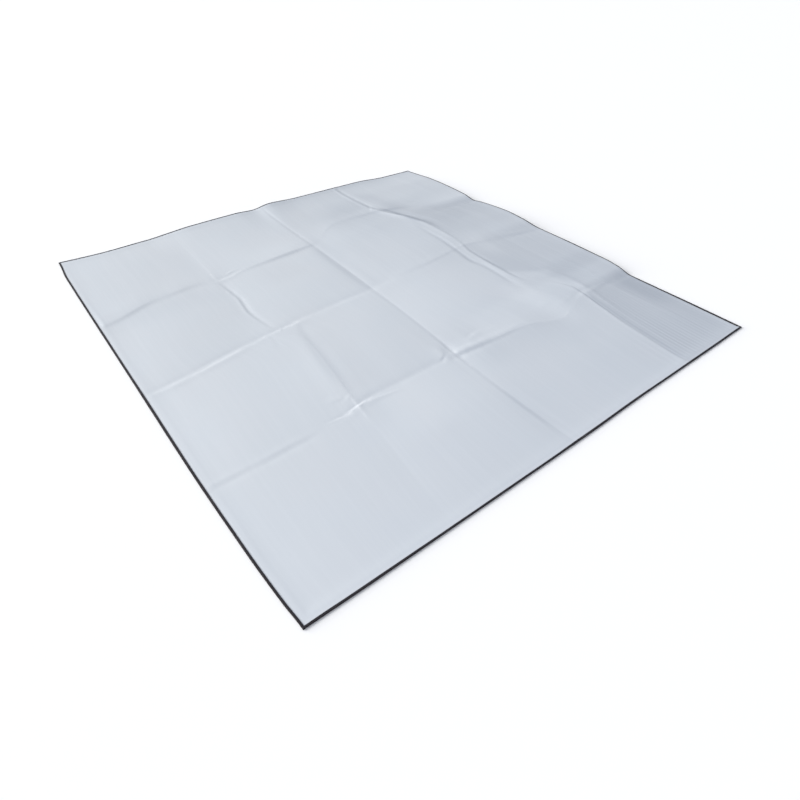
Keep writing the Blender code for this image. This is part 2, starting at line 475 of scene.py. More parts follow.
RIGHT_EDGE = Line(
    rows=(
        Row(-1.00, 1.008),
        Row(-0.75, 1.004, 0.0015),
        Row(-0.52, 1.001, 0.0010),
        Row(-0.45, 1.000, 0.0150),
        Row(-0.38, 1.000, 0.0210),
        Row(-0.20, 1.001, 0.0220),
        Row(0.00, 1.001, 0.0200),
        Row(0.10, 1.002, 0.0280),
        Row(0.20, 1.003, 0.0310),
        Row(0.30, 1.000, 0.0260),
        Row(0.40, 1.000, 0.0160),
        Row(0.45, 1.000, 0.0080),
        Row(0.52, 1.000, 0.0170),
        Row(0.65, 1.000, 0.0190),
        Row(0.80, 1.000, 0.0150),
        Row(0.90, 0.999, 0.0060),
        Row(1.00, 0.996),
    ),
    before=STRAIGHT,
    after=STRAIGHT,
)

# Lines that run along X, from the near edge to the far one.
NEAR_EDGE = Line((
    Row(-1.00, -1.000),
    Row(-0.80, -1.002),
    Row(0.00, -1.004),
    Row(0.35, -1.000),
    Row(0.80, -1.001),
    Row(1.00, -1.000),
))
NEAR_FOLD = Line(
    rows=(
        Row(-1.00, -0.520),
        Row(-0.55, -0.510),
        Row(-0.44, -0.490, 0.0020),
        Row(-0.05, -0.480),
        Row(0.10, -0.495, 0.0050),
        Row(0.30, -0.510, 0.0070),
        Row(0.47, -0.560, 0.0030),
        Row(0.69, -0.490),
        Row(1.00, -0.500),
    ),
    press=(
        Press(-1.00, 0.0, 0.8, 0.1),
        Press(-0.75, 0.0, 1.0, 0.1),
        Press(-0.63, 0.0, 0.0, 0.1),
        Press(-0.55, 0.1, -0.5, 0.4),
        Press(-0.50, 0.2, -1.0, 0.7, -0.2),
        Press(-0.45, 0.2, -1.2, 0.7, -0.5, 0.3),
        Press(-0.40, 0.1, -0.9, 0.5, -0.5, 0.5),
        Press(-0.32, 0.0, -0.8, 0.3, -0.4, 0.2),
        Press(-0.18, 0.0, -0.5, 0.1, -0.5),
        Press(-0.09, 0.1, -0.6, 0.3, -0.6),
        Press(-0.02, 0.0, 2.4, 0.2, 0.0, 1.0),
        Press(0.05, 0.0, 2.8, 0.2, 0.4, 1.0),
        Press(0.10, 0.0, 2.2, 0.3, 0.5, 0.8),
        Press(0.20, 0.1, 1.0, 0.2, 0.4, 0.6),
        Press(0.30, 0.1, 0.4, 0.1, 0.2, 0.3),
        Press(0.40, 0.1, -0.2, 0.2, 0.2),
        Press(0.50, 0.1, 0.0, 0.5),
        Press(0.62, 0.0, -0.4, 0.1),
        Press(0.73, 0.0, -1.4, 0.2),
        Press(0.83, 0.1, 0.5, 0.3),
        Press(0.93, 0.0, 0.2, 0.3),
        Press(1.00, 0.0, 0.2, 0.2),
    ),
    section=Section(crest=8.0 * MM, step=11.0 * MM),
)
CENTRE_FOLD = Line(
    rows=(
        Row(-1.00, -0.055),
        Row(-0.65, -0.009),
        Row(-0.48, 0.018, 0.0010),
        Row(0.00, 0.046),
        Row(0.36, 0.060, 0.0020),
        Row(0.52, 0.072),
        Row(0.73, 0.040),
        Row(1.00, 0.000),
    ),
    press=(
        Press(-1.00, 0.0, -1.1, 0.3),
        Press(-0.90, 0.1, -1.4, 0.5),
        Press(-0.83, 0.1, -0.9, 0.5),
        Press(-0.75, 0.1, -1.5, 0.7),
        Press(-0.63, 0.2, -1.1, 0.5),
        Press(-0.54, -0.6, -0.8, 0.4, -0.3),
        Press(-0.45, -0.8, -0.3, 0.4, -0.4),
        Press(-0.38, -0.2, -0.9, 0.5, 0.0, -0.2),
        Press(-0.28, 0.0, -0.3, 0.2, -0.2, -0.4),
        Press(-0.18, 0.0, -0.6, 0.3, -0.2, -0.4),
        Press(-0.05, 0.0, -0.5, 0.2, -0.6, -0.3),
        Press(0.10, 0.0, 0.0, 0.1, 0.0, -0.6),
        Press(0.22, 0.0, 0.4, 0.1, 0.2, 0.4),
        Press(0.37, 0.5, 0.6, 0.2, 0.2, 0.3),
        Press(0.50, 0.5, 0.3, 0.2, 0.3, 0.2),
        Press(0.60, 0.6, 0.2, 0.2, 0.3),
        Press(0.72, 0.0, 0.3, 0.2, 0.0, 0.2),
        Press(0.85, 0.0, 0.9, 0.3, 0.2, 0.6),
        Press(1.00, 0.0, 0.6, 0.2, 0.2, 0.5),
    ),
    section=Section(crest=9.0 * MM, step=12.5 * MM),
)
FAR_FOLD = Line(
    rows=(
        Row(-1.00, 0.410),
        Row(-0.78, 0.470),
        Row(-0.59, 0.490),
        Row(-0.50, 0.470),
        Row(-0.37, 0.490),
        Row(0.00, 0.520),
        Row(0.21, 0.625, 0.0040),
        Row(0.44, 0.600, 0.0040),
        Row(0.62, 0.560),
        Row(0.82, 0.450),
        Row(1.00, 0.450),
    ),
    press=(
        Press(-1.00, 0.0, 0.5, 0.1, 1.6),
        Press(-0.95, 0.0, 0.3, 0.1, 2.0),
        Press(-0.85, 0.0, 0.6, 0.2, 2.4),
        Press(-0.75, 0.0, 0.0, 0.1, 1.2, 0.2),
        Press(-0.65, 0.1, 0.4, 0.2, 2.0, 0.2),
        Press(-0.55, 0.0, 0.0, 0.2, 0.9, 0.4),
        Press(-0.45, 0.2, -1.0, 0.5),
        Press(-0.38, 0.4, 0.0, 0.4, 0.8),
        Press(-0.30, 0.2, 0.4, 0.3, 2.0),
        Press(-0.15, 0.2, 0.8, 0.3, 4.0),
        Press(-0.04, 0.0, 0.4, 0.3, 2.4),
        Press(0.05, 0.0, 0.0, 0.1, 0.3),
        Press(0.20, 0.0, 0.2, 0.1, 0.4, 0.2),
        Press(0.30, 0.0, 0.2, 0.1, 0.6, 0.5),
        Press(0.42, 0.0, 0.8, 0.2, 1.0, 1.0),
        Press(0.50, 0.0, 0.6, 0.2, 1.6, 1.0),
        Press(0.60, 0.1, 0.3, 0.1, 1.0, 0.4),
        Press(0.70, 0.2, 0.2, 0.1, 0.4, 0.2),
        Press(0.82, 0.0, 0.1, 0.1),
        Press(0.93, 0.0, 0.0, 0.2, 0.0, -0.4),
        Press(1.00, 0.0, 0.0, 0.2, 0.0, -0.4),
    ),
    section=Section(
        crest=8.0 * MM,
        step=11.0 * MM,
        slack_before=22.0 * MM,
        slack_after=75.0 * MM,
        slack_offset=11.0 * MM,
    ),
)
FAR_EDGE = Line(
    rows=(
        Row(-1.00, 1.007),
        Row(-0.93, 1.001),
        Row(-0.80, 0.994),
        Row(-0.62, 1.000),
        Row(-0.50, 1.000, 0.0070),
        Row(-0.40, 1.000, 0.0130),
        Row(-0.15, 1.000, 0.0160),
        Row(-0.05, 1.000, 0.0090),
        Row(0.05, 1.000, 0.0210),
        Row(0.20, 1.000, 0.0140),
        Row(0.45, 1.000, 0.0110),
        Row(0.62, 1.000, 0.0100),
        Row(0.80, 0.997, 0.0010),
        Row(1.00, 0.997),
    ),
    before=EDGE_SLOPE,
    after=EDGE_SLOPE,
)


class PanelRow(NamedTuple):
    """How far the middle of each panel in a row bows up off the ground, in metres."""

    left: float
    inner_left: float
    inner_right: float
    right: float


# The rows of panels, from the near edge to the far one.
PANEL_BOW = (
    PanelRow(0.0000, 0.0025, 0.0000, 0.0000),
    PanelRow(0.0020, 0.0030, 0.0030, 0.0000),
    PanelRow(0.0030, 0.0030, 0.0028, 0.0000),
    PanelRow(0.0020, 0.0020, 0.0030, 0.0030),
)


class Spot(NamedTuple):
    """A point of the flat sheet as it lies: its place, and the flat place it comes from."""

    flat_x: float
    flat_y: float
    x: float
    y: float
    z: float


@dataclass(frozen=True)
class MatShape:
    """How the flat mat lies on the ground.

    Attributes:
        side: The finished mat, along any edge.
        panels: Panels between folds, each way.
        sheet_thickness: The foil-faced foam.
        tape_thickness: One layer of the tape.
        fit_gap: Left between the sheet and the tape round it.
        lift_flat: How far in from the edge the sheet still lies on the tape's lower half.
        lift_ramp: And how much further in it reaches the ground.
        along_y: Its edges and folds that run along Y, from left to right.
        along_x: Those that run along X, from near to far.
        rounds: Rounds in which a point's two coordinates settle on their lines.
    """

    side: float = 2.0
    panels: int = 4
    sheet_thickness: float = 2.5 * MM
    tape_thickness: float = 0.7 * MM
    fit_gap: float = 0.4 * MM
    lift_flat: float = 10.0 * MM
    lift_ramp: float = 36.0 * MM
    along_y: tuple[Line, ...] = (LEFT_EDGE, LEFT_FOLD, MIDDLE_FOLD, RIGHT_FOLD, RIGHT_EDGE)
    along_x: tuple[Line, ...] = (NEAR_EDGE, NEAR_FOLD, CENTRE_FOLD, FAR_FOLD, FAR_EDGE)
    rounds: int = 4

    @cached_property
    def panel(self) -> float:
        """Width of a panel."""
        return self.side / self.panels

    @cached_property
    def edge_lift(self) -> float:
        """How high the tape's lower half holds the sheet's edge."""
        return self.tape_thickness + self.fit_gap

    @cached_property
    def shift(self) -> Vector:
        """Find the way from the tables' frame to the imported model's, whose box is centred.

        Returns:
            The way.
        """
        low_x = min(row.across for row in self.along_y[0].rows)
        low_y = min(row.across for row in self.along_x[0].rows)
        return Vector((CAD_BOX[0][0] - low_x, CAD_BOX[0][1] - low_y, 0.0))

    def split(self, flat: float) -> tuple[int, float]:
        """Panel number and the fraction across it, for a distance over the flat sheet."""
        index = min(int(flat / self.panel), self.panels - 1)
        return index, flat / self.panel - index

    def inward(self, flat_x: float, flat_y: float) -> float:
        """Distance in from the nearest edge of the flat mat."""
        return min(flat_x, flat_y, self.side - flat_x, self.side - flat_y)

    def spot(self, flat_x: float, flat_y: float) -> Spot:
        """Where a point of the sheet's underside lies, in the tables' frame.

        Args:
            flat_x: The point on the flat mat, from its near left corner.
            flat_y: The same, away from the near edge.

        Returns:
            The spot.
        """
        index_x, part_x = self.split(flat_x)
        index_y, part_y = self.split(flat_y)
        left, right = self.along_y[index_x], self.along_y[index_x + 1]
        near, far = self.along_x[index_y], self.along_x[index_y + 1]
        x = flat_x - self.side / 2.0
        y = flat_y - self.side / 2.0
        for _ in range(self.rounds):
            x = left.across.at(y) * (1.0 - part_x) + right.across.at(y) * part_x
            y = near.across.at(x) * (1.0 - part_y) + far.across.at(x) * part_y
        z = left.rise.at(y) * left.after.height(part_x)
        z += right.rise.at(y) * right.before.height(1.0 - part_x)
        z += near.rise.at(x) * near.after.height(part_y)
        z += far.rise.at(x) * far.before.height(1.0 - part_y)
        # 1 in the middle of the panel and 0 all round its edge.
        hump = 16.0 * part_x * (1.0 - part_x) * part_y * (1.0 - part_y)
        z += PANEL_BOW[index_y][index_x] * hump
        ramp = smoothstep(self.inward(flat_x, flat_y) - self.lift_flat, 0.0, self.lift_ramp)
        z += self.edge_lift * (1.0 - ramp)
        return Spot(flat_x, flat_y, x, y, z)

    def point(self, spot: Spot, above: float) -> Vector:
        """A spot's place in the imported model's frame, some way above the sheet's underside."""
        return Vector((spot.x, spot.y, spot.z + above)) + self.shift


class Mark(NamedTuple):
    """A short tuck, dent or lip in the foil, beside the folds.

    x and y are its middle and turn the way it runs, in degrees from +X. Its length and width are
    in millimetres, and so are its crest and step, as in Press.
    """

    x: float
    y: float
    turn: float
    length: float
    width: float
    crest: float
    step: float


MARKS = (
    # Flecks where the left and near folds cross.
    Mark(-0.53, -0.420, -10.0, 60.0, 13.0, 0.4, -1.2),
    Mark(-0.48, -0.440, 20.0, 40.0, 12.0, 0.3, -0.8),
    Mark(-0.478, -0.492, 7.0, 70.0, 9.0, 0.4, -1.4),
    Mark(-0.36, -0.500, -8.0, 90.0, 9.0, 0.3, -0.8),
    Mark(-0.56, -0.502, -6.0, 60.0, 9.0, 0.3, -0.9),
    # Beside the left fold, where it meets the centre fold.
    Mark(-0.52, -0.05, 90.0, 90.0, 10.0, -0.3, 0.6),
    Mark(-0.46, 0.015, 60.0, 28.0, 9.0, 0.4, 0.5),
    # Where the left and far folds cross.
    Mark(-0.43, 0.51, 20.0, 36.0, 11.0, 0.5, -0.9),
    # The knot where the middle and near folds cross.
    Mark(-0.045, -0.445, 80.0, 75.0, 40.0, -0.5, 2.6),
    Mark(-0.085, -0.470, 30.0, 50.0, 12.0, -0.6, 0.9),
    Mark(0.11, -0.430, 12.0, 60.0, 15.0, 0.5, -1.5),
    Mark(0.17, -0.440, 40.0, 30.0, 13.0, 0.3, -1.0),
    Mark(0.28, -0.500, 5.0, 60.0, 11.0, -0.2, 0.4),
    # Beside the right fold.
    Mark(0.47, -0.455, 10.0, 60.0, 13.0, 0.3, -1.0),
    Mark(0.56, -0.480, 0.0, 60.0, 12.0, 0.3, -0.9),
    Mark(0.52, -0.31, 95.0, 110.0, 32.0, 0.0, -1.4),
    Mark(0.52, 0.37, 90.0, 110.0, 40.0, 0.0, 1.0),
    Mark(0.45, 0.66, 55.0, 80.0, 14.0, -0.6, -1.0),
    Mark(0.70, 0.60, 5.0, 110.0, 13.0, -0.5, 1.0),
    Mark(0.75, 0.30, 20.0, 90.0, 16.0, -0.3, 0.6),
)


class Tuck(NamedTuple):
    """A station of a long pleat: its place, and its half width and crest in millimetres.

    shade is how much shade is painted into the foil along it, on the same scale as the table of painted
    shade, and painted light where it is below 0.
    """

    along: float
    across: float
    width: float
    shade: float = 0.0
    crest: float = 0.0


@dataclass(frozen=True)
class Pleat:
    """A long soft pleat that runs along Y, or a patch of painted shade alone, which is painted light
    where it is below 0.

    Attributes:
        tucks: Its stations; it sinks to nothing at both ends.
    """

    tucks: tuple[Tuck, ...]

    @cached_property
    def curves(self) -> dict[str, Curve]:
        """Its stations as curves."""
        return curves_of(self.tucks)

    def read(self, spot: Spot) -> tuple[float, float]:
        """What the pleat does to a spot of the sheet.

        Args:
            spot: The spot.

        Returns:
            Height in metres, below 0 for a trough, and painted shade.
        """
        if not self.tucks[0].along < spot.y < self.tucks[-1].along:
            return 0.0, 0.0
        at = read_all(self.curves, spot.y)
        near = bell(spot.x - at["across"], at["width"] * MM)
        return at["crest"] * near * MM, at["shade"] * near


PLEATS = (
    # The notch on the left of the ridge, with painted shade along it.
    Pleat((
        Tuck(-0.31, 0.500, 12.0),
        Tuck(-0.23, 0.500, 11.0, 0.15, -1.4),
        Tuck(-0.13, 0.498, 11.0, 0.20, -1.6),
        Tuck(-0.04, 0.478, 10.0, 0.60, -2.0),
        Tuck(0.02, 0.485, 10.0, 0.50, -1.8),
        Tuck(0.08, 0.492, 10.0, 0.45, -1.8),
        Tuck(0.17, 0.500, 10.0, 0.30, -1.5),
        Tuck(0.27, 0.502, 10.0, 0.15, -1.2),
        Tuck(0.36, 0.500, 12.0),
    )),
    # Painted shade along the ridge's far side.
    Pleat((
        Tuck(-0.30, 0.545, 10.0),
        Tuck(-0.22, 0.548, 10.0, 0.25),
        Tuck(-0.13, 0.541, 10.0, 0.55),
        Tuck(-0.04, 0.526, 10.0, 0.30),
        Tuck(0.06, 0.550, 10.0),
        Tuck(0.15, 0.572, 10.0, 0.10),
        Tuck(0.25, 0.572, 10.0, 0.20),
        Tuck(0.352, 0.563, 13.0, 0.90),
        Tuck(0.403, 0.546, 17.0, 1.40),
        Tuck(0.453, 0.533, 18.0, 1.60),
        Tuck(0.503, 0.520, 17.0, 1.40),
        Tuck(0.553, 0.511, 17.0, 0.90),
        Tuck(0.61, 0.480, 13.0, 0.60),
        Tuck(0.66, 0.456, 10.0, 0.40),
        Tuck(0.80, 0.455, 8.0, 0.35),
        Tuck(0.95, 0.450, 8.0, 0.20),
        Tuck(1.01, 0.450, 8.0),
    )),
    # Broad patches of the panels with painted shade, and painted light where the shade is below 0.
    Pleat((
        Tuck(0.48, 0.580, 50.0),
        Tuck(0.58, 0.560, 55.0, 0.45),
        Tuck(0.78, 0.530, 50.0, 0.42),
        Tuck(0.92, 0.500, 45.0),
    )),
    Pleat((
        Tuck(0.27, -0.250, 100.0),
        Tuck(0.37, -0.250, 110.0, 0.18),
        Tuck(0.44, -0.250, 110.0, 0.18),
        Tuck(0.52, -0.250, 100.0),
    )),
    Pleat((
        Tuck(0.05, 0.150, 80.0),
        Tuck(0.18, 0.150, 90.0, 0.12),
        Tuck(0.36, 0.150, 90.0, 0.18),
        Tuck(0.52, 0.150, 80.0),
    )),
    Pleat((
        Tuck(-0.76, -0.300, 140.0),
        Tuck(-0.66, -0.300, 150.0, -0.22),
        Tuck(-0.56, -0.300, 150.0, -0.30),
        Tuck(-0.50, -0.300, 150.0, -0.30),
        Tuck(-0.465, -0.300, 150.0),
    )),
    Pleat((
        Tuck(-0.66, 0.080, 70.0),
        Tuck(-0.54, 0.080, 75.0, 0.20),
        Tuck(-0.40, 0.080, 75.0, 0.20),
        Tuck(-0.28, 0.080, 70.0),
    )),
    Pleat((
        Tuck(-0.14, 0.640, 45.0),
        Tuck(0.00, 0.630, 50.0, -0.35),
        Tuck(0.16, 0.640, 45.0),
    )),
    Pleat((
        Tuck(-0.66, 0.500, 70.0),
        Tuck(-0.54, 0.510, 70.0, -0.45),
        Tuck(-0.34, 0.480, 70.0, -0.40),
        Tuck(-0.22, 0.460, 60.0),
    )),
    # The near half of the left fold, which starts to the right of the far half, with painted shade
    # along it.
    Pleat((
        Tuck(-0.42, -0.476, 16.0),
        Tuck(-0.30, -0.452, 18.0, 0.15, -0.2),
        Tuck(-0.20, -0.433, 18.0, 0.22, -0.4),
        Tuck(-0.10, -0.412, 17.0, 0.25, -0.6),
        Tuck(-0.03, -0.398, 14.0, 0.25, -0.5),
        Tuck(0.02, -0.388, 12.0),
    )),
    # Shade painted along the dark side of the middle fold.
    Pleat((
        Tuck(0.00, -0.020, 13.0),
        Tuck(0.10, -0.020, 14.0, 0.38),
        Tuck(0.25, -0.018, 15.0, 0.45),
        Tuck(0.45, -0.015, 15.0, 0.30),
        Tuck(0.60, -0.012, 13.0),
    )),
    # And its bright side, with a little painted shade.
    Pleat((
        Tuck(0.02, 0.035, 22.0),
        Tuck(0.12, 0.034, 24.0, 0.17),
        Tuck(0.45, 0.036, 24.0, 0.17),
        Tuck(0.70, 0.036, 22.0),
    )),
    # Soft lines of painted shade by the near ends of the right fold and of the middle one.
    Pleat((
        Tuck(-1.01, 0.632, 14.0, 0.30),
        Tuck(-0.85, 0.642, 13.0, 0.40),
        Tuck(-0.70, 0.658, 13.0, 0.40),
        Tuck(-0.58, 0.676, 15.0, 0.50),
        Tuck(-0.48, 0.690, 16.0, 0.30),
        Tuck(-0.38, 0.680, 16.0),
    )),
    Pleat((
        Tuck(-0.96, -0.012, 16.0),
        Tuck(-0.88, -0.024, 18.0, 0.22, -0.3),
        Tuck(-0.78, -0.036, 18.0, 0.22, -0.3),
        Tuck(-0.68, -0.034, 16.0),
    )),
    # The low ridge past the fold, towards the near edge.
    Pleat((
        Tuck(-0.98, 0.660, 13.0),
        Tuck(-0.85, 0.680, 13.0, 0.00, 0.3),
        Tuck(-0.70, 0.695, 13.0, 0.00, 0.3),
        Tuck(-0.58, 0.715, 14.0, 0.00, 1.0),
        Tuck(-0.47, 0.735, 15.0, 0.00, 1.1),
        Tuck(-0.36, 0.730, 15.0, 0.00, 1.4),
        Tuck(-0.26, 0.700, 14.0),
    )),
    # A long low ridge near the right edge, and a trough beside it.
    Pleat((
        Tuck(-0.95, 0.860, 9.0),
        Tuck(-0.80, 0.865, 9.0, 0.00, 0.6),
        Tuck(-0.55, 0.850, 10.0, 0.00, 0.5),
        Tuck(-0.30, 0.850, 10.0, 0.00, 0.3),
        Tuck(0.10, 0.860, 10.0, 0.00, 0.4),
        Tuck(0.40, 0.870, 10.0),
    )),
    Pleat((
        Tuck(-0.45, 0.780, 12.0),
        Tuck(-0.20, 0.770, 12.0, 0.00, -0.5),
        Tuck(0.10, 0.760, 12.0, 0.00, -0.4),
        Tuck(0.35, 0.740, 12.0),
    )),
)


class PaintedShade(NamedTuple):
    """How much shade is painted into the foil at one station along Y, over where nothing marks it.

    2 is about the darkest painted shade, and below 0 it is painted light. outer is the row of panels by
    the left edge, crease the left side of the middle fold, inner the row of panels before the right
    fold and strip the row past it, which starts "start" metres past the fold. edge is added in a patch
    by the right edge, and swell more softly towards that edge.
    """

    along: float
    outer: float
    crease: float
    inner: float
    strip: float
    start: float = 0.0
    edge: float = 0.0
    swell: float = 0.0


# Shade painted into the foil's colour at stations along Y, and painted light where it is below 0.
PAINTED_SHADE_ROWS = (
    PaintedShade(-1.00, 0.00, 0.30, 0.10, 0.66),
    PaintedShade(-0.90, 0.00, 0.30, 0.10, 0.74, 0.00, 0.10),
    PaintedShade(-0.78, 0.00, 0.30, 0.15, 0.70, 0.00, 0.20),
    PaintedShade(-0.66, 0.00, 0.28, 0.17, 0.76, 0.00, 0.60),
    PaintedShade(-0.54, 0.00, 0.15, 0.30, 0.82, 0.00, 0.60),
    PaintedShade(-0.50, 0.00, 0.15, 0.28, 0.75, 0.02, 0.20, -0.20),
    PaintedShade(-0.45, 0.00, 0.18, 0.20, 0.68, 0.03, 0.00, -0.50),
    PaintedShade(-0.40, 0.00, 0.20, 0.15, 0.80, 0.03, 0.00, -0.40),
    PaintedShade(-0.34, 0.00, 0.20, 0.05, 0.85, 0.05),
    PaintedShade(-0.29, 0.00, 0.15, 0.00, 0.84, 0.09),
    PaintedShade(-0.24, 0.00, 0.10, 0.02, 0.60, 0.04),
    PaintedShade(-0.18, 0.02, 0.10, 0.10, 0.65),
    PaintedShade(-0.06, 0.05, 0.12, 0.25, 0.62),
    PaintedShade(0.04, 0.10, 0.20, 0.50, 0.45),
    PaintedShade(0.10, 0.12, 0.25, 0.50, 0.25),
    PaintedShade(0.20, 0.15, 0.30, 0.45, 0.66),
    PaintedShade(0.30, 0.18, 0.25, 0.50, 0.94),
    PaintedShade(0.37, 0.30, 0.30, 0.60, 1.15),
    PaintedShade(0.43, 0.36, 0.36, 0.70, 1.20, 0.00, 0.00, 0.20),
    PaintedShade(0.46, 0.34, 0.34, 0.72, 1.00, 0.00, 0.00, -0.30),
    PaintedShade(0.50, 0.25, 0.20, 0.68, 0.80, 0.00, 0.00, -1.00),
    PaintedShade(0.56, 0.22, 0.25, 0.75, 0.60, 0.00, 0.00, -0.60),
    PaintedShade(0.62, 0.20, 0.30, 0.90, 0.58, 0.00, 0.00, -0.30),
    PaintedShade(0.70, 0.20, 0.30, 1.04, 0.42),
    PaintedShade(0.78, 0.22, 0.28, 0.75, 0.50),
    PaintedShade(0.86, 0.20, 0.25, 0.50, 0.55),
    PaintedShade(1.00, 0.20, 0.20, 0.45, 0.55),
)
PAINTED_SHADE_CURVES = curves_of(PAINTED_SHADE_ROWS)


@dataclass(frozen=True)
class FoilFace:
    """How much shade and light is painted into the foil's face, and how strongly it is ribbed.

    Attributes:
        shape: The mat it lies on.
        plain: The level of painted shade where nothing marks the foil.
        share: How much of the tables' painted shade is added to that.
        cloud: How that painted shade varies in streaks along Y.
        crease: How far from the middle fold the shade painted on its left side fades.
        rib_least: How plain the ribs are where they are faint.
        rib_strip: Where the ribs grow plainer towards the right edge, along X.
        rib_strip_gain: How much plainer they are there.
        rib_corner: Where they are plainest.
        rib_corner_gain: How much plainer they are there.
        rib_reach: How far from there they fade.
        outer_end: Where the outer panels' painted shade ends, in from the mat's left edge.
        inner_edge: Where the inner panels' painted shade begins beside the middle fold.
        inner_rest: And where it grows to the whole.
        inner_shares: How much of it each of the two brings.
        strip_width: Over how far the strip's painted shade begins.
        edge_patch: Where the patch of painted shade by the right edge begins, along X.
        swell_patch: And the softer one.
    """

    shape: MatShape
    plain: float = 0.25
    share: float = 0.875
    cloud: Unevenness = Unevenness(22.0, 3.0, 0.12, 9.0)
    crease: float = 50.0 * MM
    rib_least: float = 0.04
    rib_strip: Ramp = Ramp(0.55, 0.72)
    rib_strip_gain: float = 0.55
    rib_corner: tuple[float, float] = (0.78, -0.92)
    rib_corner_gain: float = 2.2
    rib_reach: float = 0.19
    outer_end: Ramp = Ramp(0.35, 0.60)
    inner_edge: Ramp = Ramp(-0.01, 0.02)
    inner_rest: Ramp = Ramp(0.04, 0.40)
    inner_shares: tuple[float, float] = (0.4, 0.6)
    strip_width: float = 0.03
    edge_patch: Ramp = Ramp(0.84, 0.92)
    swell_patch: Ramp = Ramp(0.62, 0.90)

    def ribs(self, spot: Spot) -> float:
        """Find how strong the foil's ribs are: most in the near right corner, and faint elsewhere.

        Args:
            spot: Where it is read.

        Returns:
            Their strength there.
        """
        corner_x, corner_y = self.rib_corner
        corner = bell(math.hypot(spot.x - corner_x, spot.y - corner_y), self.rib_reach)
        strip = self.rib_strip_gain * self.rib_strip.at(spot.x)
        return self.rib_least + strip + self.rib_corner_gain * corner

    def painted_shade_at(self, spot: Spot, shade: float) -> float:
        """Find how much shade is painted into the foil, and painted light where it falls below plain.

        Args:
            spot: Where it is read.
            shade: The shade that the pleats paint there.

        Returns:
            The painted shade there.
        """
        at = read_all(PAINTED_SHADE_CURVES, spot.y)
        past_middle = spot.flat_x - 2.0 * self.shape.panel
        past_right = past_middle - self.shape.panel - at["start"]
        edge_share, rest_share = self.inner_shares
        inner = edge_share * self.inner_edge.at(past_middle)
        inner += rest_share * self.inner_rest.at(past_middle)
        strip = smoothstep(past_right, 0.0, self.strip_width + at["start"])
        level = at["outer"] * (1.0 - self.outer_end.at(spot.flat_x))
        level += at["crease"] * (math.exp(past_middle / self.crease) if past_middle < 0.0 else 0.0)
        level += at["inner"] * inner * (1.0 - strip) + at["strip"] * strip
        level += at["edge"] * self.edge_patch.at(spot.x)
        level += at["swell"] * self.swell_patch.at(spot.x)
        level *= 1.0 + self.cloud.at(spot.x, spot.y)
        return self.plain + self.share * (level + shade)


class Reading(NamedTuple):
    """What the relief does to a spot.

    fine is the height of the face's fine shape, ripple how far the whole sheet rises, wear how scuffed
    the foil is and where a highlight is painted beside the tape, the fourth number the shade painted
    into the foil, and ribs how strongly ribbed.
    """

    fine: float
    ripple: float
    wear: float
    painted_shade: float
    ribs: float


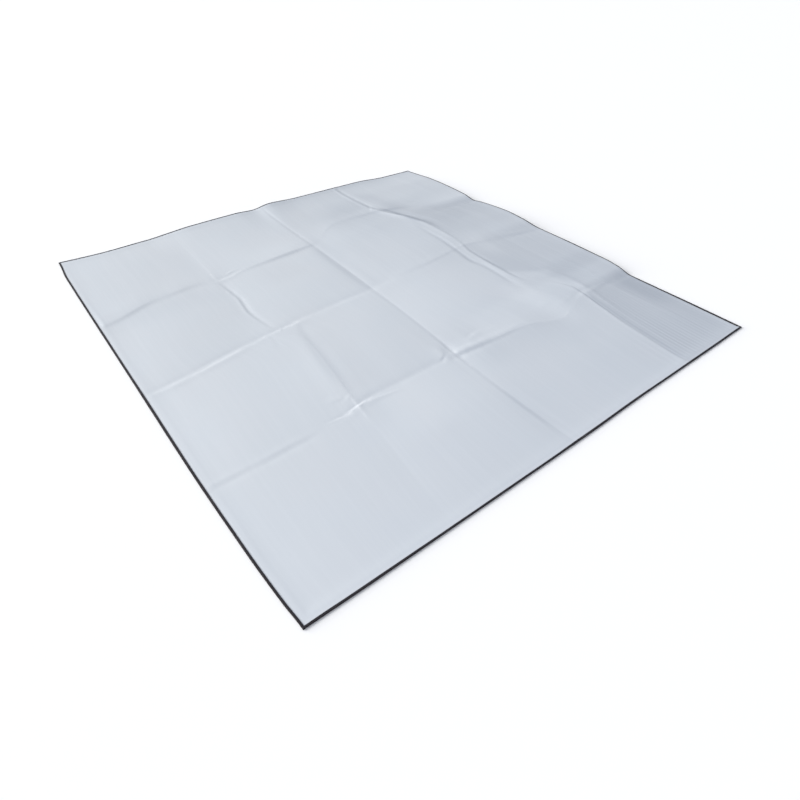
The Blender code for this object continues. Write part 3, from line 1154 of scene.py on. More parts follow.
@dataclass(frozen=True)
class Relief:
    """The fine shape of the sheet: pressed folds, marks and pleats beside them, and ripples.

    Attributes:
        shape: The mat it lies on.
        face: The shade painted into the foil on it, and how ribbed it is.
        wander: How a crease strays to either side of its fold.
        grip: The share of its height that a crease has on the whole.
        grip_slow: How that share varies along it.
        grip_quick: The same over shorter lengths.
        grip_least: The least that the share comes to.
        fleck: How the wear along a crease comes and goes.
        fleck_middle: How strong it is on the whole.
        ripple: Height of the slow ripples of the panels.
        ripple_broad: Their broad waves, as shares of that.
        ripple_small: The small waves on those.
        faint: Under this share of its height a mark's end is left off.
        fade: Where the relief begins and is whole, in from the edge that the tape holds flat.
        rim: Where a pale line is painted beside the tape as a highlight, in from the mat's edge.
        rim_width: Half width of that.
        rim_highlight: And how pale that painted highlight is.
    """

    shape: MatShape
    face: FoilFace
    wander: Unevenness = Unevenness(14.0, 1.0, 2.0 * MM)
    grip: float = 0.95
    grip_slow: Unevenness = Unevenness(11.0, 1.0, 0.7, 5.0)
    grip_quick: Unevenness = Unevenness(38.0, 1.0, 0.6, 6.0)
    grip_least: float = 0.1
    fleck: Unevenness = Unevenness(55.0, 90.0, 1.0)
    fleck_middle: float = 0.5
    ripple: float = 0.7 * MM
    ripple_broad: Unevenness = Unevenness(5.0, 4.0, 0.5, 1.0)
    ripple_small: Unevenness = Unevenness(17.0, 11.0, 0.1, 2.0)
    faint: float = 0.01
    fade: Ramp = Ramp(9.0 * MM, 26.0 * MM)
    rim: float = 10.0 * MM
    rim_width: float = 4.0 * MM
    rim_highlight: float = 0.45

    def fold(self, line: Line, distance: float, along: float, seed: float) -> tuple[float, float]:
        """What one fold presses into the sheet.

        Args:
            line: The fold.
            distance: From the fold, over the flat sheet.
            along: Place along the fold.
            seed: Where in the noise the fold's own unevenness lies.

        Returns:
            Height and wear.
        """
        section = line.section
        if abs(distance) > section.reach:
            return 0.0, 0.0
        at = read_all(line.pressed, along)
        wide = distance - section.slack_offset
        slack_width = section.slack_before if wide < 0.0 else section.slack_after
        height = at["slack"] * bell(wide, slack_width)
        height += at["sag"] * roll(wide, section.sag) / 2.0
        sharp = distance - section.offset + self.wander.at(along, seed)
        grip = self.grip + self.grip_slow.at(along, seed)
        grip = max(self.grip_least, grip + self.grip_quick.at(along, seed))
        height += grip * at["crest"] * bell(sharp, section.crest)
        height += grip * at["step"] * roll(sharp, section.step) / 2.0
        fleck = self.fleck_middle + self.fleck.at(along, distance, seed)
        wear = at["wear"] * bell(sharp, section.step) * max(0.0, fleck)
        return height * MM, wear

    def folds(self, spot: Spot) -> tuple[float, float]:
        """What all six folds press into the sheet at a spot.

        Args:
            spot: The spot.

        Returns:
            Height and wear.
        """
        height = wear = 0.0
        for number in range(1, self.shape.panels):
            place = number * self.shape.panel
            down = self.fold(self.shape.along_y[number], spot.flat_x - place, spot.y, number)
            over = self.fold(self.shape.along_x[number], spot.flat_y - place, spot.x, -number)
            height += down[0] + over[0]
            wear = max(wear, down[1], over[1])
        return height, wear

    def marks(self, spot: Spot) -> float:
        """Press the short marks into the sheet.

        Args:
            spot: Where it is read.

        Returns:
            Their height there.
        """
        height = 0.0
        for mark in MARKS:
            turn = math.radians(mark.turn)
            away_x, away_y = spot.x - mark.x, spot.y - mark.y
            along = away_x * math.cos(turn) + away_y * math.sin(turn)
            across = away_y * math.cos(turn) - away_x * math.sin(turn)
            end = bell(along, mark.length * MM / 2.0)
            if end < self.faint:
                continue
            lift = mark.crest * bell(across, mark.width * MM / 2.0)
            lift += mark.step * roll(across, mark.width * MM / 2.0) / 2.0
            height += lift * end * MM
        return height

    def ripples(self, spot: Spot) -> float:
        """Height of the panels' slow ripples at a spot, about 0 where they are lowest."""
        broad = self.ripple_broad.height + self.ripple_broad.at(spot.x, spot.y)
        return self.ripple * (broad + self.ripple_small.at(spot.x, spot.y))

    def read(self, spot: Spot) -> Reading:
        """Read the relief.

        Args:
            spot: A spot of the sheet.

        Returns:
            What it does there.
        """
        edge = self.shape.inward(spot.flat_x, spot.flat_y)
        fade = self.fade.at(edge)
        pressed, wear = self.folds(spot)
        pleats = [pleat.read(spot) for pleat in PLEATS]
        fine = pressed + self.marks(spot) + sum(height for height, _ in pleats)
        # The shade painted into the foil's colour, and painted light where it falls below plain.
        painted_shade = self.face.painted_shade_at(spot, sum(shade for _, shade in pleats))
        ribs = self.face.ribs(spot) * fade
        # A pale line painted beside the tape as a highlight, carried with the folds' wear.
        wear = max(wear * fade, self.rim_highlight * bell(edge - self.rim, self.rim_width))
        return Reading(fine * fade, self.ripples(spot) * fade, wear, painted_shade, ribs)


# ---------------------------------------------------------------------------------------------
# Shader graphs
# ---------------------------------------------------------------------------------------------


class Signal:
    """A node's output socket, on which shader maths is written as a Python expression."""

    def __init__(self, graph: Graph, socket: bpy.types.NodeSocket) -> None:
        """Wrap a socket of a graph."""
        self.graph = graph
        self.socket = socket

    def __add__(self, other: Signal | float) -> Signal:
        """Add."""
        return self.graph.maths("ADD", self, other)

    def __radd__(self, other: float) -> Signal:
        """Add to a number."""
        return self.graph.maths("ADD", other, self)

    def __sub__(self, other: Signal | float) -> Signal:
        """Take away."""
        return self.graph.maths("SUBTRACT", self, other)

    def __rsub__(self, other: float) -> Signal:
        """Take from a number."""
        return self.graph.maths("SUBTRACT", other, self)

    def __mul__(self, other: Signal | float) -> Signal:
        """Multiply."""
        return self.graph.maths("MULTIPLY", self, other)

    def __rmul__(self, other: float) -> Signal:
        """Multiply a number."""
        return self.graph.maths("MULTIPLY", other, self)

    def __truediv__(self, other: Signal | float) -> Signal:
        """Divide."""
        return self.graph.maths("DIVIDE", self, other)

    def sine(self) -> Signal:
        """The sine."""
        return self.graph.maths("SINE", self, 0.0)


class Graph:
    """The nodes of one material or world, made one expression at a time."""

    MIX_FACTOR = 0
    MIX_FIRST = 6
    MIX_SECOND = 7
    MIX_RESULT = 2

    def __init__(self, tree: bpy.types.NodeTree) -> None:
        """Start on an emptied node tree."""
        self.tree = tree
        tree.nodes.clear()

    def node(
        self,
        kind: str,
        settings: Mapping[str, object] | None = None,
        inputs: Mapping[str | int, object] | None = None,
    ) -> bpy.types.Node:
        """Add a node.

        Args:
            kind: The node's type.
            settings: Its own settings, set first.
            inputs: A value or a Signal for each socket, by name or number.

        Returns:
            The node.
        """
        made = self.tree.nodes.new(kind)
        for name, value in (settings or {}).items():
            setattr(made, name, value)
        for name, value in (inputs or {}).items():
            socket = made.inputs[name]
            if isinstance(value, Signal):
                self.tree.links.new(value.socket, socket)
            else:
                socket.default_value = value
        return made

    def signal(self, made: bpy.types.Node, output: str | int = 0) -> Signal:
        """Wrap a node's output."""
        return Signal(self, made.outputs[output])

    def maths(self, operation: str, first: Signal | float, second: Signal | float) -> Signal:
        """Add a Math node."""
        return self.signal(self.node("ShaderNodeMath", {"operation": operation}, {0: first, 1: second}))

    def blend(self, factor: Signal | float, first: object, second: object) -> Signal:
        """Mix two colours.

        Args:
            factor: 0 for the first colour and 1 for the second.
            first: A colour, or a Signal of one.
            second: The same.

        Returns:
            The mixed colour.
        """
        inputs = {self.MIX_FACTOR: factor, self.MIX_FIRST: first, self.MIX_SECOND: second}
        made = self.node("ShaderNodeMix", {"data_type": "RGBA"}, inputs)
        return self.signal(made, self.MIX_RESULT)

    def ramp(self, value: Signal, across: Ramp, low: float = 0.0, high: float = 1.0) -> Signal:
        """Ease a value from one level to another.

        Args:
            value: What is read.
            across: Where it starts and ends.
            low: Result at the start.
            high: Result at the end.

        Returns:
            The eased value.
        """
        settings = {"interpolation_type": "SMOOTHSTEP"}
        inputs = {"Value": value, 1: across.start, 2: across.end, 3: low, 4: high}
        return self.signal(self.node("ShaderNodeMapRange", settings, inputs))

    def stretch(self, place: Signal, scale: Triple) -> Signal:
        """Scale a place, so that a pattern on it is drawn out one way."""
        made = self.node("ShaderNodeVectorMath", {"operation": "MULTIPLY"}, {0: place, 1: scale})
        return self.signal(made)

    def noise(
        self, place: Signal, scale: float = 1.0, detail: float = 2.0, rough: float = 0.5
    ) -> Signal:
        """Noise from 0 to 1.

        Args:
            place: Where it is read.
            scale: Its cells to the metre.
            detail: How many finer layers it has.
            rough: How strong they are.

        Returns:
            The noise.
        """
        inputs = {"Vector": place, "Scale": scale, "Detail": detail, "Roughness": rough}
        return self.signal(self.node("ShaderNodeTexNoise", {}, inputs))

    def cells(self, place: Signal, scale: float) -> Signal:
        """Distance to the nearest of many scattered points."""
        inputs = {"Vector": place, "Scale": scale}
        return self.signal(self.node("ShaderNodeTexVoronoi", {"feature": "F1"}, inputs), "Distance")

    def parts(self, place: Signal) -> tuple[Signal, Signal, Signal]:
        """A vector's three numbers."""
        made = self.node("ShaderNodeSeparateXYZ", {}, {0: place})
        return self.signal(made, 0), self.signal(made, 1), self.signal(made, 2)

    def uv(self) -> Signal:
        """The piece's own map, which is in metres over the flat cloth."""
        return self.signal(self.node("ShaderNodeUVMap", {"uv_map": FLAT_MAP}), "UV")

    def objects(self) -> Signal:
        """The place on the piece in the model's frame."""
        return self.signal(self.node("ShaderNodeTexCoord"), "Object")

    def attribute(self, name: str) -> Signal:
        """A number stored on the piece's points."""
        return self.signal(self.node("ShaderNodeAttribute", {"attribute_name": name}), "Fac")

    def bump(self, height: Signal) -> Signal:
        """A normal bent by a height in metres."""
        inputs = {"Height": height, "Strength": 1.0, "Distance": 1.0}
        return self.signal(self.node("ShaderNodeBump", {}, inputs), "Normal")


def new_material(name: str) -> tuple[bpy.types.Material, Graph]:
    """Make a material.

    Args:
        name: Its name.

    Returns:
        The material and the graph of its nodes.
    """
    material = bpy.data.materials.new(name)
    material.use_nodes = True
    return material, Graph(material.node_tree)


def close_surface(graph: Graph, inputs: Mapping[str | int, object]) -> None:
    """End a graph in a Principled surface with the given sockets."""
    shader = graph.node("ShaderNodeBsdfPrincipled", {}, inputs)
    graph.node("ShaderNodeOutputMaterial", {}, {"Surface": graph.signal(shader)})


@dataclass(frozen=True)
class FoilFinish:
    """Satin silver film over foam: faint ribs along Y, fine crinkles, scuffs on the folds, shade and
    light painted into its colour, and a highlight painted beside the tape.

    Attributes:
        colour: The film.
        cool: The same where it is a little cooler.
        scuff_and_highlight: Where it is rubbed or stretched pale, and the highlight painted beside the
            tape.
        painted_shade: The colour where the most shade is painted.
        painted_shade_share: How far towards that one unit of painted shade takes it.
        metallic: How metallic it is.
        roughness: How matt it is.
        mottle_scale: Its broad patches to the metre.
        streaks: Its streaks to the metre, each way.
        rib_pitch: From one rib to the next.
        rib_height: Height of the ribs.
        rib_bend: How far they stray, in pitches.
        rib_bends: Waves to the metre in which they stray, each way.
        rib_breaks: The same for where they come and go.
        grain_pitch: From one line of its grain to the next.
        grain_height: Height of the grain.
        grain_bend: How far the broad patches bend it, in radians of its waves.
        crinkle_scale: Crinkles to the metre.
        crinkle_height: Height of the crinkles.
        crinkles: How crinkles are drawn out, each way.
    """

    colour: Colour = (0.717, 0.754, 0.795, 1.0)
    cool: Colour = (0.707, 0.750, 0.795, 1.0)
    scuff_and_highlight: Colour = (0.84, 0.87, 0.91, 1.0)
    painted_shade: Colour = (0.392, 0.432, 0.491, 1.0)
    painted_shade_share: float = 0.5
    metallic: float = 0.35
    roughness: float = 0.50
    mottle_scale: float = 4.0
    streaks: Triple = (90.0, 2.5, 1.0)
    rib_pitch: float = 25.0 * MM
    rib_height: float = 0.12 * MM
    rib_bend: float = 0.7
    rib_bends: Triple = (2.0, 3.0, 1.0)
    rib_breaks: Triple = (25.0, 3.0, 1.0)
    grain_pitch: float = 5.0 * MM
    grain_height: float = 0.010 * MM
    grain_bend: float = 3.0
    crinkle_scale: float = 65.0
    crinkle_height: float = 0.05 * MM
    crinkles: Triple = (1.0, 0.55, 1.0)

    def tint(self, graph: Graph, mottle: Signal, streak: Signal, wear: Signal) -> Signal:
        """Colour the foil: cooler in patches, darker where shade is painted and lighter where light is
        painted, paler in streaks and where it is worn, and paler again where a highlight is painted
        beside the tape.

        Args:
            graph: The finish's nodes.
            mottle: Its broad patches.
            streak: Its fine streaks.
            wear: How scuffed it is, and where a highlight is painted beside the tape.

        Returns:
            The colour.
        """
        tint = graph.blend(graph.ramp(mottle, Ramp(0.3, 0.7)), self.colour, self.cool)
        # Painted shade: darker the higher the sheet's painted-shade number, and painted light where it
        # falls below 0.
        tint = graph.blend(self.painted_shade_share * graph.attribute(PAINTED_SHADE_AND_LIGHT), tint, self.painted_shade)
        tint = graph.blend(graph.ramp(streak, Ramp(0.35, 0.75), high=0.08), tint, self.scuff_and_highlight)
        # Scuffs on the folds, and the pale line painted beside the tape as a highlight.
        return graph.blend(graph.ramp(wear, Ramp(0.05, 0.8), high=0.6), tint, self.scuff_and_highlight)

    def height(self, graph: Graph, place: Signal, mottle: Signal, streak: Signal) -> Signal:
        """Raise the foil: fine grain and broken ribs that run along Y, and crinkles.

        Args:
            graph: The finish's nodes.
            place: The place on the flat sheet.
            mottle: Its broad patches, which bend the grain.
            streak: Its fine streaks, which make the grain stronger and weaker.

        Returns:
            The height in metres.
        """
        over, _, _ = graph.parts(place)
        grain = (over * (math.tau / self.grain_pitch) + self.grain_bend * mottle).sine()
        drawn = graph.stretch(place, self.crinkles)
        crinkle = graph.noise(drawn, self.crinkle_scale, detail=4.0, rough=0.55)
        bend = self.rib_bend * graph.noise(graph.stretch(place, self.rib_bends), detail=1.0)
        uneven = graph.noise(graph.stretch(place, self.rib_breaks), detail=1.0)
        rib = ((over / self.rib_pitch + bend) * math.tau).sine() * (1.6 * uneven - 0.2)
        height = self.grain_height * grain * (0.4 + streak) + self.crinkle_height * crinkle
        return height + self.rib_height * rib * graph.attribute(RIBBED)

    def make(self) -> bpy.types.Material:
        """Make the finish.

        Returns:
            The material.
        """
        material, graph = new_material("foil")
        place = graph.uv()
        mottle = graph.noise(place, self.mottle_scale, detail=3.0)
        streak = graph.noise(graph.stretch(place, self.streaks), detail=3.0, rough=0.6)
        wear = graph.attribute(WEAR_AND_HIGHLIGHT)
        rough = self.roughness + 0.06 * (mottle - 0.5) + 0.05 * (streak - 0.5) - 0.06 * wear
        close_surface(graph, {
            "Base Color": self.tint(graph, mottle, streak, wear),
            "Metallic": self.metallic,
            "Roughness": rough,
            "Normal": graph.bump(self.height(graph, place, mottle, streak)),
        })
        return material


@dataclass(frozen=True)
class FoamFinish:
    """White closed-cell foam: small flattened cells and faint lines from rolling.

    Attributes:
        colour: The foam.
        shade: The edges of its cells, painted darker as shade in the hollows between them, and its
            cloudy patches.
        roughness: How matt it is.
        cell_pitch: From one cell to the next.
        cell_height: Height of a cell.
        roll_height: Height of the lines.
    """

    colour: Colour = (0.83, 0.84, 0.84, 1.0)
    shade: Colour = (0.74, 0.75, 0.77, 1.0)
    roughness: float = 0.72
    cell_pitch: float = 2.6 * MM
    cell_height: float = 0.16 * MM
    roll_height: float = 0.05 * MM

    def make(self) -> bpy.types.Material:
        """Make the finish.

        Returns:
            The material.
        """
        material, graph = new_material("foam")
        place = graph.uv()
        cell = graph.cells(place, 1.0 / self.cell_pitch)
        roll_mark = graph.noise(graph.stretch(place, (60.0, 2.0, 1.0)))
        cloud = graph.noise(place, scale=5.0, detail=3.0)
        # The cells' edges, where the surface dips, are painted darker as shade; the cloudy patches are
        # the foam's own tone.
        tint = graph.blend(graph.ramp(cell, Ramp(0.1, 0.8), high=0.6), self.colour, self.shade)
        tint = graph.blend(graph.ramp(cloud, Ramp(0.3, 0.8), high=0.35), tint, self.shade)
        height = self.cell_height * (1.0 - cell) + self.roll_height * roll_mark
        close_surface(graph, {
            "Base Color": tint,
            "Roughness": self.roughness + 0.1 * (roll_mark - 0.5),
            "Normal": graph.bump(height),
        })
        return material


@dataclass(frozen=True)
class TapeFinish:
    """Dark woven tape: a plain weave, a little dusty, with sheen painted on the tops of its yarns.

    Attributes:
        colour: The tape.
        dust_and_sheen: The dust on it, and the sheen painted on the tops of its yarns.
        roughness: How matt it is.
        specular: How much it shines.
        weave_pitch: From one yarn to the next but one.
        weave_height: Height of the yarns.
    """

    colour: Colour = (0.016, 0.014, 0.018, 1.0)
    dust_and_sheen: Colour = (0.060, 0.056, 0.060, 1.0)
    roughness: float = 0.70
    specular: float = 0.22
    weave_pitch: float = 0.9 * MM
    weave_height: float = 0.09 * MM

    def make(self) -> bpy.types.Material:
        """Make the finish.

        Returns:
            The material.
        """
        material, graph = new_material("tape")
        place = graph.uv()
        along, across, _ = graph.parts(place)
        turns = math.tau / self.weave_pitch
        warp = (across * turns).sine()
        weft = (along * turns).sine()
        weave = warp * weft
        fuzz = graph.noise(place, scale=900.0, detail=3.0, rough=0.7)
        cloud = graph.noise(graph.stretch(place, (1.0, 6.0, 1.0)), scale=18.0, detail=3.0)
        # Dust in clouds, and sheen painted lighter on the tops of the yarns.
        dust_and_sheen_share = graph.ramp(cloud, Ramp(0.45, 0.8), high=0.5) + 0.18 * (weave + 1.0) * fuzz
        close_surface(graph, {
            "Base Color": graph.blend(dust_and_sheen_share, self.colour, self.dust_and_sheen),
            "Roughness": self.roughness + 0.14 * (fuzz - 0.5),
            "Specular IOR Level": self.specular,
            "Normal": graph.bump(self.weave_height * (weave + 0.6 * fuzz)),
        })
        return material


@dataclass(frozen=True)
class ThreadFinish:
    """Twisted dark sewing thread.

    Attributes:
        colour: The thread.
        light: The tops of its strands, a painted highlight.
        roughness: How matt it is.
        twist_pitch: From one strand to the next.
        twist_height: Height of the strands.
    """

    colour: Colour = (0.020, 0.018, 0.022, 1.0)
    light: Colour = (0.065, 0.060, 0.066, 1.0)
    roughness: float = 0.55
    twist_pitch: float = 0.5 * MM
    twist_height: float = 0.04 * MM

    def make(self) -> bpy.types.Material:
        """Make the finish.

        Returns:
            The material.
        """
        material, graph = new_material("thread")
        place = graph.objects()
        x, y, _ = graph.parts(place)
        twist = ((x + y) * (math.tau / self.twist_pitch)).sine()
        fuzz = graph.noise(place, scale=1500.0)
        # The tops of the strands are painted lighter as a highlight.
        lit = graph.ramp(twist, Ramp(-0.2, 1.0), high=0.8)
        close_surface(graph, {
            "Base Color": graph.blend(lit, self.colour, self.light),
            "Roughness": self.roughness + 0.2 * (fuzz - 0.5),
            "Normal": graph.bump(self.twist_height * twist),
        })
        return material


# ---------------------------------------------------------------------------------------------
# Pieces
# ---------------------------------------------------------------------------------------------


def finish_mesh(
    name: str, mesh: bmesh.types.BMesh, materials: Iterable[bpy.types.Material]
) -> bpy.types.Object:
    """Turn a finished bmesh into an object at the origin.

    Args:
        name: The piece's name.
        mesh: Its shape, freed here.
        materials: Its materials, in slot order.

    Returns:
        The object, shaded smooth but for its sharp edges.
    """
    data = bpy.data.meshes.new(name)
    mesh.to_mesh(data)
    mesh.free()
    for material in materials:
        data.materials.append(material)
    data.shade_smooth()
    data.set_sharp_from_angle(angle=SHARP_ANGLE)
    made = bpy.data.objects.new(name, data)
    bpy.context.scene.collection.objects.link(made)
    return made


def unit_grid(columns: int, rows: int) -> tuple[bmesh.types.BMesh, dict[int, tuple[int, int]]]:
    """Make a grid of quads.

    Args:
        columns: Points across.
        rows: Points up.

    Returns:
        The mesh, and the column and row number of each point by its index.
    """
    mesh = bmesh.new()
    bmesh.ops.create_grid(mesh, x_segments=columns - 1, y_segments=rows - 1, size=1.0)
    mesh.verts.ensure_lookup_table()
    numbers = {}
    for corner in mesh.verts:
        across = round((corner.co.x + 1.0) / 2.0 * (columns - 1))
        up = round((corner.co.y + 1.0) / 2.0 * (rows - 1))
        numbers[corner.index] = (across, up)
    return mesh, numbers


class Band(NamedTuple):
    """Even divisions beside a line of the mat: how far from it they reach, and their spacing."""

    reach: float
    spacing: float


BESIDE_EDGE = (Band(36.0 * MM, 6.0 * MM),)
BESIDE_FOLD = (Band(30.0 * MM, 3.0 * MM), Band(80.0 * MM, 6.25 * MM))


def divisions(bands: Sequence[Band]) -> list[float]:
    """Divide the bands beside a line.

    Args:
        bands: The bands, from the nearest on.

    Returns:
        Distances from the line, 0 first.
    """
    found = [0.0]
    for band in bands:
        start = found[-1]
        count = round((band.reach - start) / band.spacing)
        found += [start + (band.reach - start) * (step + 1) / count for step in range(count)]
    return found


@dataclass(frozen=True)
class FoilSheet:
    """The foil-faced foam sheet.

    Attributes:
        shape: How it lies.
        relief: The fine shape of its face.
        middle_across: Spacing of its points across X in the middle of a panel.
        middle_strip: The same past the right fold.
        middle_along: Their spacing along Y in the middle of a panel.
        crushed: The least that a crease leaves of the sheet's thickness.
    """

    shape: MatShape
    relief: Relief
    middle_across: float = 18.0 * MM
    middle_strip: float = 9.0 * MM
    middle_along: float = 15.0 * MM
    crushed: float = 1.0 * MM

    def stops(self, middles: Sequence[float]) -> list[float]:
        """Where the sheet is divided along one side.

        Args:
            middles: The spacing in the middle of each panel.

        Returns:
            Distances over the flat mat, from the sheet's one cut edge to the other.
        """
        inset = self.shape.edge_lift
        found = []
        for number, spacing in enumerate(middles):
            start, end = number * self.shape.panel, (number + 1) * self.shape.panel
            first = divisions(BESIDE_FOLD if number else BESIDE_EDGE)
            last = divisions(BESIDE_FOLD if number + 1 < len(middles) else BESIDE_EDGE)
            length = self.shape.panel - first[-1] - last[-1]
            count = round(length / spacing)
            found += [start + place for place in first]
            found += [start + first[-1] + length * step / count for step in range(1, count)]
            found += [end - place for place in reversed(last[1:])]
        found = [stop for stop in found if inset < stop < self.shape.side - inset]
        return [inset, *found, self.shape.side - inset]

    def build(self, foil: bpy.types.Material, foam: bpy.types.Material) -> bpy.types.Object:
        """Build the sheet.

        Args:
            foil: Finish of its face.
            foam: Finish of its underside and cut edges.

        Returns:
            The sheet.
        """
        columns = self.stops([self.middle_across] * (self.shape.panels - 1) + [self.middle_strip])
        rows = self.stops([self.middle_along] * self.shape.panels)
        mesh, numbers = unit_grid(len(columns), len(rows))
        flat_map = mesh.loops.layers.uv.new(FLAT_MAP)
        wear_and_highlight_layer = mesh.verts.layers.float.new(WEAR_AND_HIGHLIGHT)
        painted_shade_layer = mesh.verts.layers.float.new(PAINTED_SHADE_AND_LIGHT)
        rib_layer = mesh.verts.layers.float.new(RIBBED)
        bottom = list(mesh.verts)
        raised = bmesh.ops.extrude_face_region(mesh, geom=mesh.faces[:], use_keep_orig=True)["geom"]
        face = [item for item in raised if isinstance(item, bmesh.types.BMVert)]
        by_place = {corner.co.to_tuple(PLACE_DIGITS): corner for corner in face}
        for below in bottom:
            above = by_place[below.co.to_tuple(PLACE_DIGITS)]
            across, up = numbers[below.index]
            spot = self.shape.spot(columns[across], rows[up])
            read = self.relief.read(spot)
            lift = read.ripple + read.fine
            under = max(lift, -spot.z)
            over = max(self.shape.sheet_thickness + lift, under + self.crushed)
            above.co = self.shape.point(spot, over)
            below.co = self.shape.point(spot, under)
            # Wear with the highlight painted beside the tape, the shade and light painted into the
            # foil, and ribs.
            above[wear_and_highlight_layer] = below[wear_and_highlight_layer] = read.wear
            above[painted_shade_layer] = below[painted_shade_layer] = read.painted_shade
            above[rib_layer] = below[rib_layer] = read.ribs
            for corner in (above, below):
                for loop in corner.link_loops:
                    loop[flat_map].uv = (spot.flat_x, spot.flat_y)
        top_faces = {item for item in raised if isinstance(item, bmesh.types.BMFace)}
        for polygon in mesh.faces:
            polygon.material_index = 0 if polygon in top_faces else 1
        bmesh.ops.recalc_face_normals(mesh, faces=mesh.faces)
        return finish_mesh("foil_sheet", mesh, (foil, foam))


class Side(Enum):
    """The mat's four edges."""

    NEAR = "near"
    FAR = "far"
    LEFT = "left"
    RIGHT = "right"

    def flat(self, along: float, inward: float, side: float) -> tuple[float, float]:
        """A place on the flat mat, from a place along this edge and a distance in from it.

        Args:
            along: Distance along the edge.
            inward: Distance in from it.
            side: Length of the mat's side.

        Returns:
            The two flat coordinates.
        """
        places = {
            Side.NEAR: (along, inward),
            Side.FAR: (along, side - inward),
            Side.LEFT: (inward, along),
            Side.RIGHT: (side - inward, along),
        }
        return places[self]


class Lap(NamedTuple):
    """How far a tape reaches in over the sheet at one station along its edge, in metres."""

    along: float
    width: float


# From the left end of the near and far edges, and from the near end of the other two.
TAPE_LAPS = {
    Side.NEAR: (
        Lap(0.00, 0.0064), Lap(0.30, 0.0060), Lap(0.55, 0.0050), Lap(0.90, 0.0050),
        Lap(1.02, 0.0062), Lap(2.00, 0.0060),
    ),
    Side.FAR: (
        Lap(0.00, 0.0055), Lap(0.40, 0.0060), Lap(0.70, 0.0050), Lap(1.20, 0.0050),
        Lap(2.00, 0.0056),
    ),
    Side.LEFT: (Lap(0.00, 0.0070), Lap(2.00, 0.0070)),
    Side.RIGHT: (
        Lap(0.00, 0.0145), Lap(0.40, 0.0120), Lap(0.55, 0.0065), Lap(0.80, 0.0070),
        Lap(0.88, 0.0053), Lap(0.98, 0.0053), Lap(1.05, 0.0068), Lap(1.15, 0.0068),
        Lap(1.25, 0.0053), Lap(1.40, 0.0053), Lap(1.48, 0.0066), Lap(1.60, 0.0053),
        Lap(2.00, 0.0053),
    ),
}


@dataclass(frozen=True)
class EdgeTape:
    """A length of woven tape folded over one edge of the sheet and sewn through.

    Attributes:
        shape: The mat's shape.
        side: The edge that it covers.
        widths: How far it reaches in over the sheet, along the edge.
        spacing: From one section along it to the next.
        nose: Radius of its outer corners.
        nose_steps: Flats in each of them.
        row_share: Where the row of stitches runs, as a share of the least width.
        row_dip: How deep the stitches pull the tape in.
        row_width: Half width of that dip.
        waver: How its cut edge strays.
        mitre_gap: How far each end stops short of the corner's diagonal.
    """

    shape: MatShape
    side: Side
    widths: Curve
    spacing: float = 6.0 * MM
    nose: float = 1.7 * MM
    nose_steps: int = 5
    row_share: float = 0.65
    row_dip: float = 0.22 * MM
    row_width: float = 0.7 * MM
    waver: Unevenness = Unevenness(11.0, 1.0, 0.35 * MM)
    mitre_gap: float = 0.2 * MM

    @cached_property
    def width(self) -> float:
        """Its least width over the sheet."""
        return min(self.widths.values)

    @cached_property
    def row_inset(self) -> float:
        """The row of stitches, in from the mat's edge."""
        return self.row_share * self.width

    def leaf(self, outset: float) -> list[tuple[float, float]]:
        """Half of the tape's section, from its cut edge round to the middle of the fold.

        Args:
            outset: How far out from the tape's inner face.

        Returns:
            Points as (distance in from the mat's edge, distance up from the sheet's middle).
        """
        half = self.shape.sheet_thickness / 2.0 + self.shape.fit_gap + outset
        inset = self.shape.tape_thickness - outset
        radius = self.nose - inset
        dips = [self.row_inset + self.row_width * step for step in (2, 1, 0, -1, -2)]
        points = [(self.width, half)]
        for place in dips:
            points.append((place, half - self.row_dip * bell(place - self.row_inset, self.row_width)))
        for step in range(self.nose_steps + 1):
            turn = math.pi / 2.0 * step / self.nose_steps
            centre = inset + radius
            points.append((centre - radius * math.sin(turn), half - radius * (1.0 - math.cos(turn))))
        return points

    def section(self) -> list[tuple[float, float]]:
        """The tape's whole section.

        Returns:
            Points round it as (distance in, distance up from the sheet's underside).
        """
        middle = self.shape.sheet_thickness / 2.0
        outer = self.leaf(self.shape.tape_thickness)
        inner = self.leaf(0.0)
        ring = outer + [(inward, -up) for inward, up in reversed(outer)]
        ring += [(inward, -up) for inward, up in inner] + list(reversed(inner))
        return [(inward, middle + up) for inward, up in ring]

    def build(self, tape: bpy.types.Material) -> bpy.types.Object:
        """Build the tape.

        Args:
            tape: Its finish.

        Returns:
            The tape.
        """
        section = self.section()
        count = round(self.shape.side / self.spacing) + 1
        mesh, numbers = unit_grid(count, len(section) + 1)
        flat_map = mesh.loops.layers.uv.new(FLAT_MAP)
        around = [0.0]
        for here, there in zip(section, section[1:] + section[:1]):
            around.append(around[-1] + math.dist(here, there))
        for corner in mesh.verts:
            step, turn = numbers[corner.index]
            inward, above = section[turn % len(section)]
            along = self.shape.side * step / (count - 1)
            stray = self.waver.at(along, len(self.side.value))
            stray += self.widths.at(along) - self.width
            inward += smoothstep(inward, self.row_inset, self.width) * stray
            mitre = inward + self.mitre_gap
            along = min(max(along, mitre), self.shape.side - mitre)
            spot = self.shape.spot(*self.side.flat(along, inward, self.shape.side))
            corner.co = self.shape.point(spot, above)
            for loop in corner.link_loops:
                loop[flat_map].uv = (along, around[turn])
        bmesh.ops.remove_doubles(mesh, verts=mesh.verts, dist=WELD)
        bmesh.ops.holes_fill(mesh, edges=mesh.edges, sides=0)
        bmesh.ops.recalc_face_normals(mesh, faces=mesh.faces)
        return finish_mesh(f"edge_tape_{self.side.value}", mesh, (tape,))


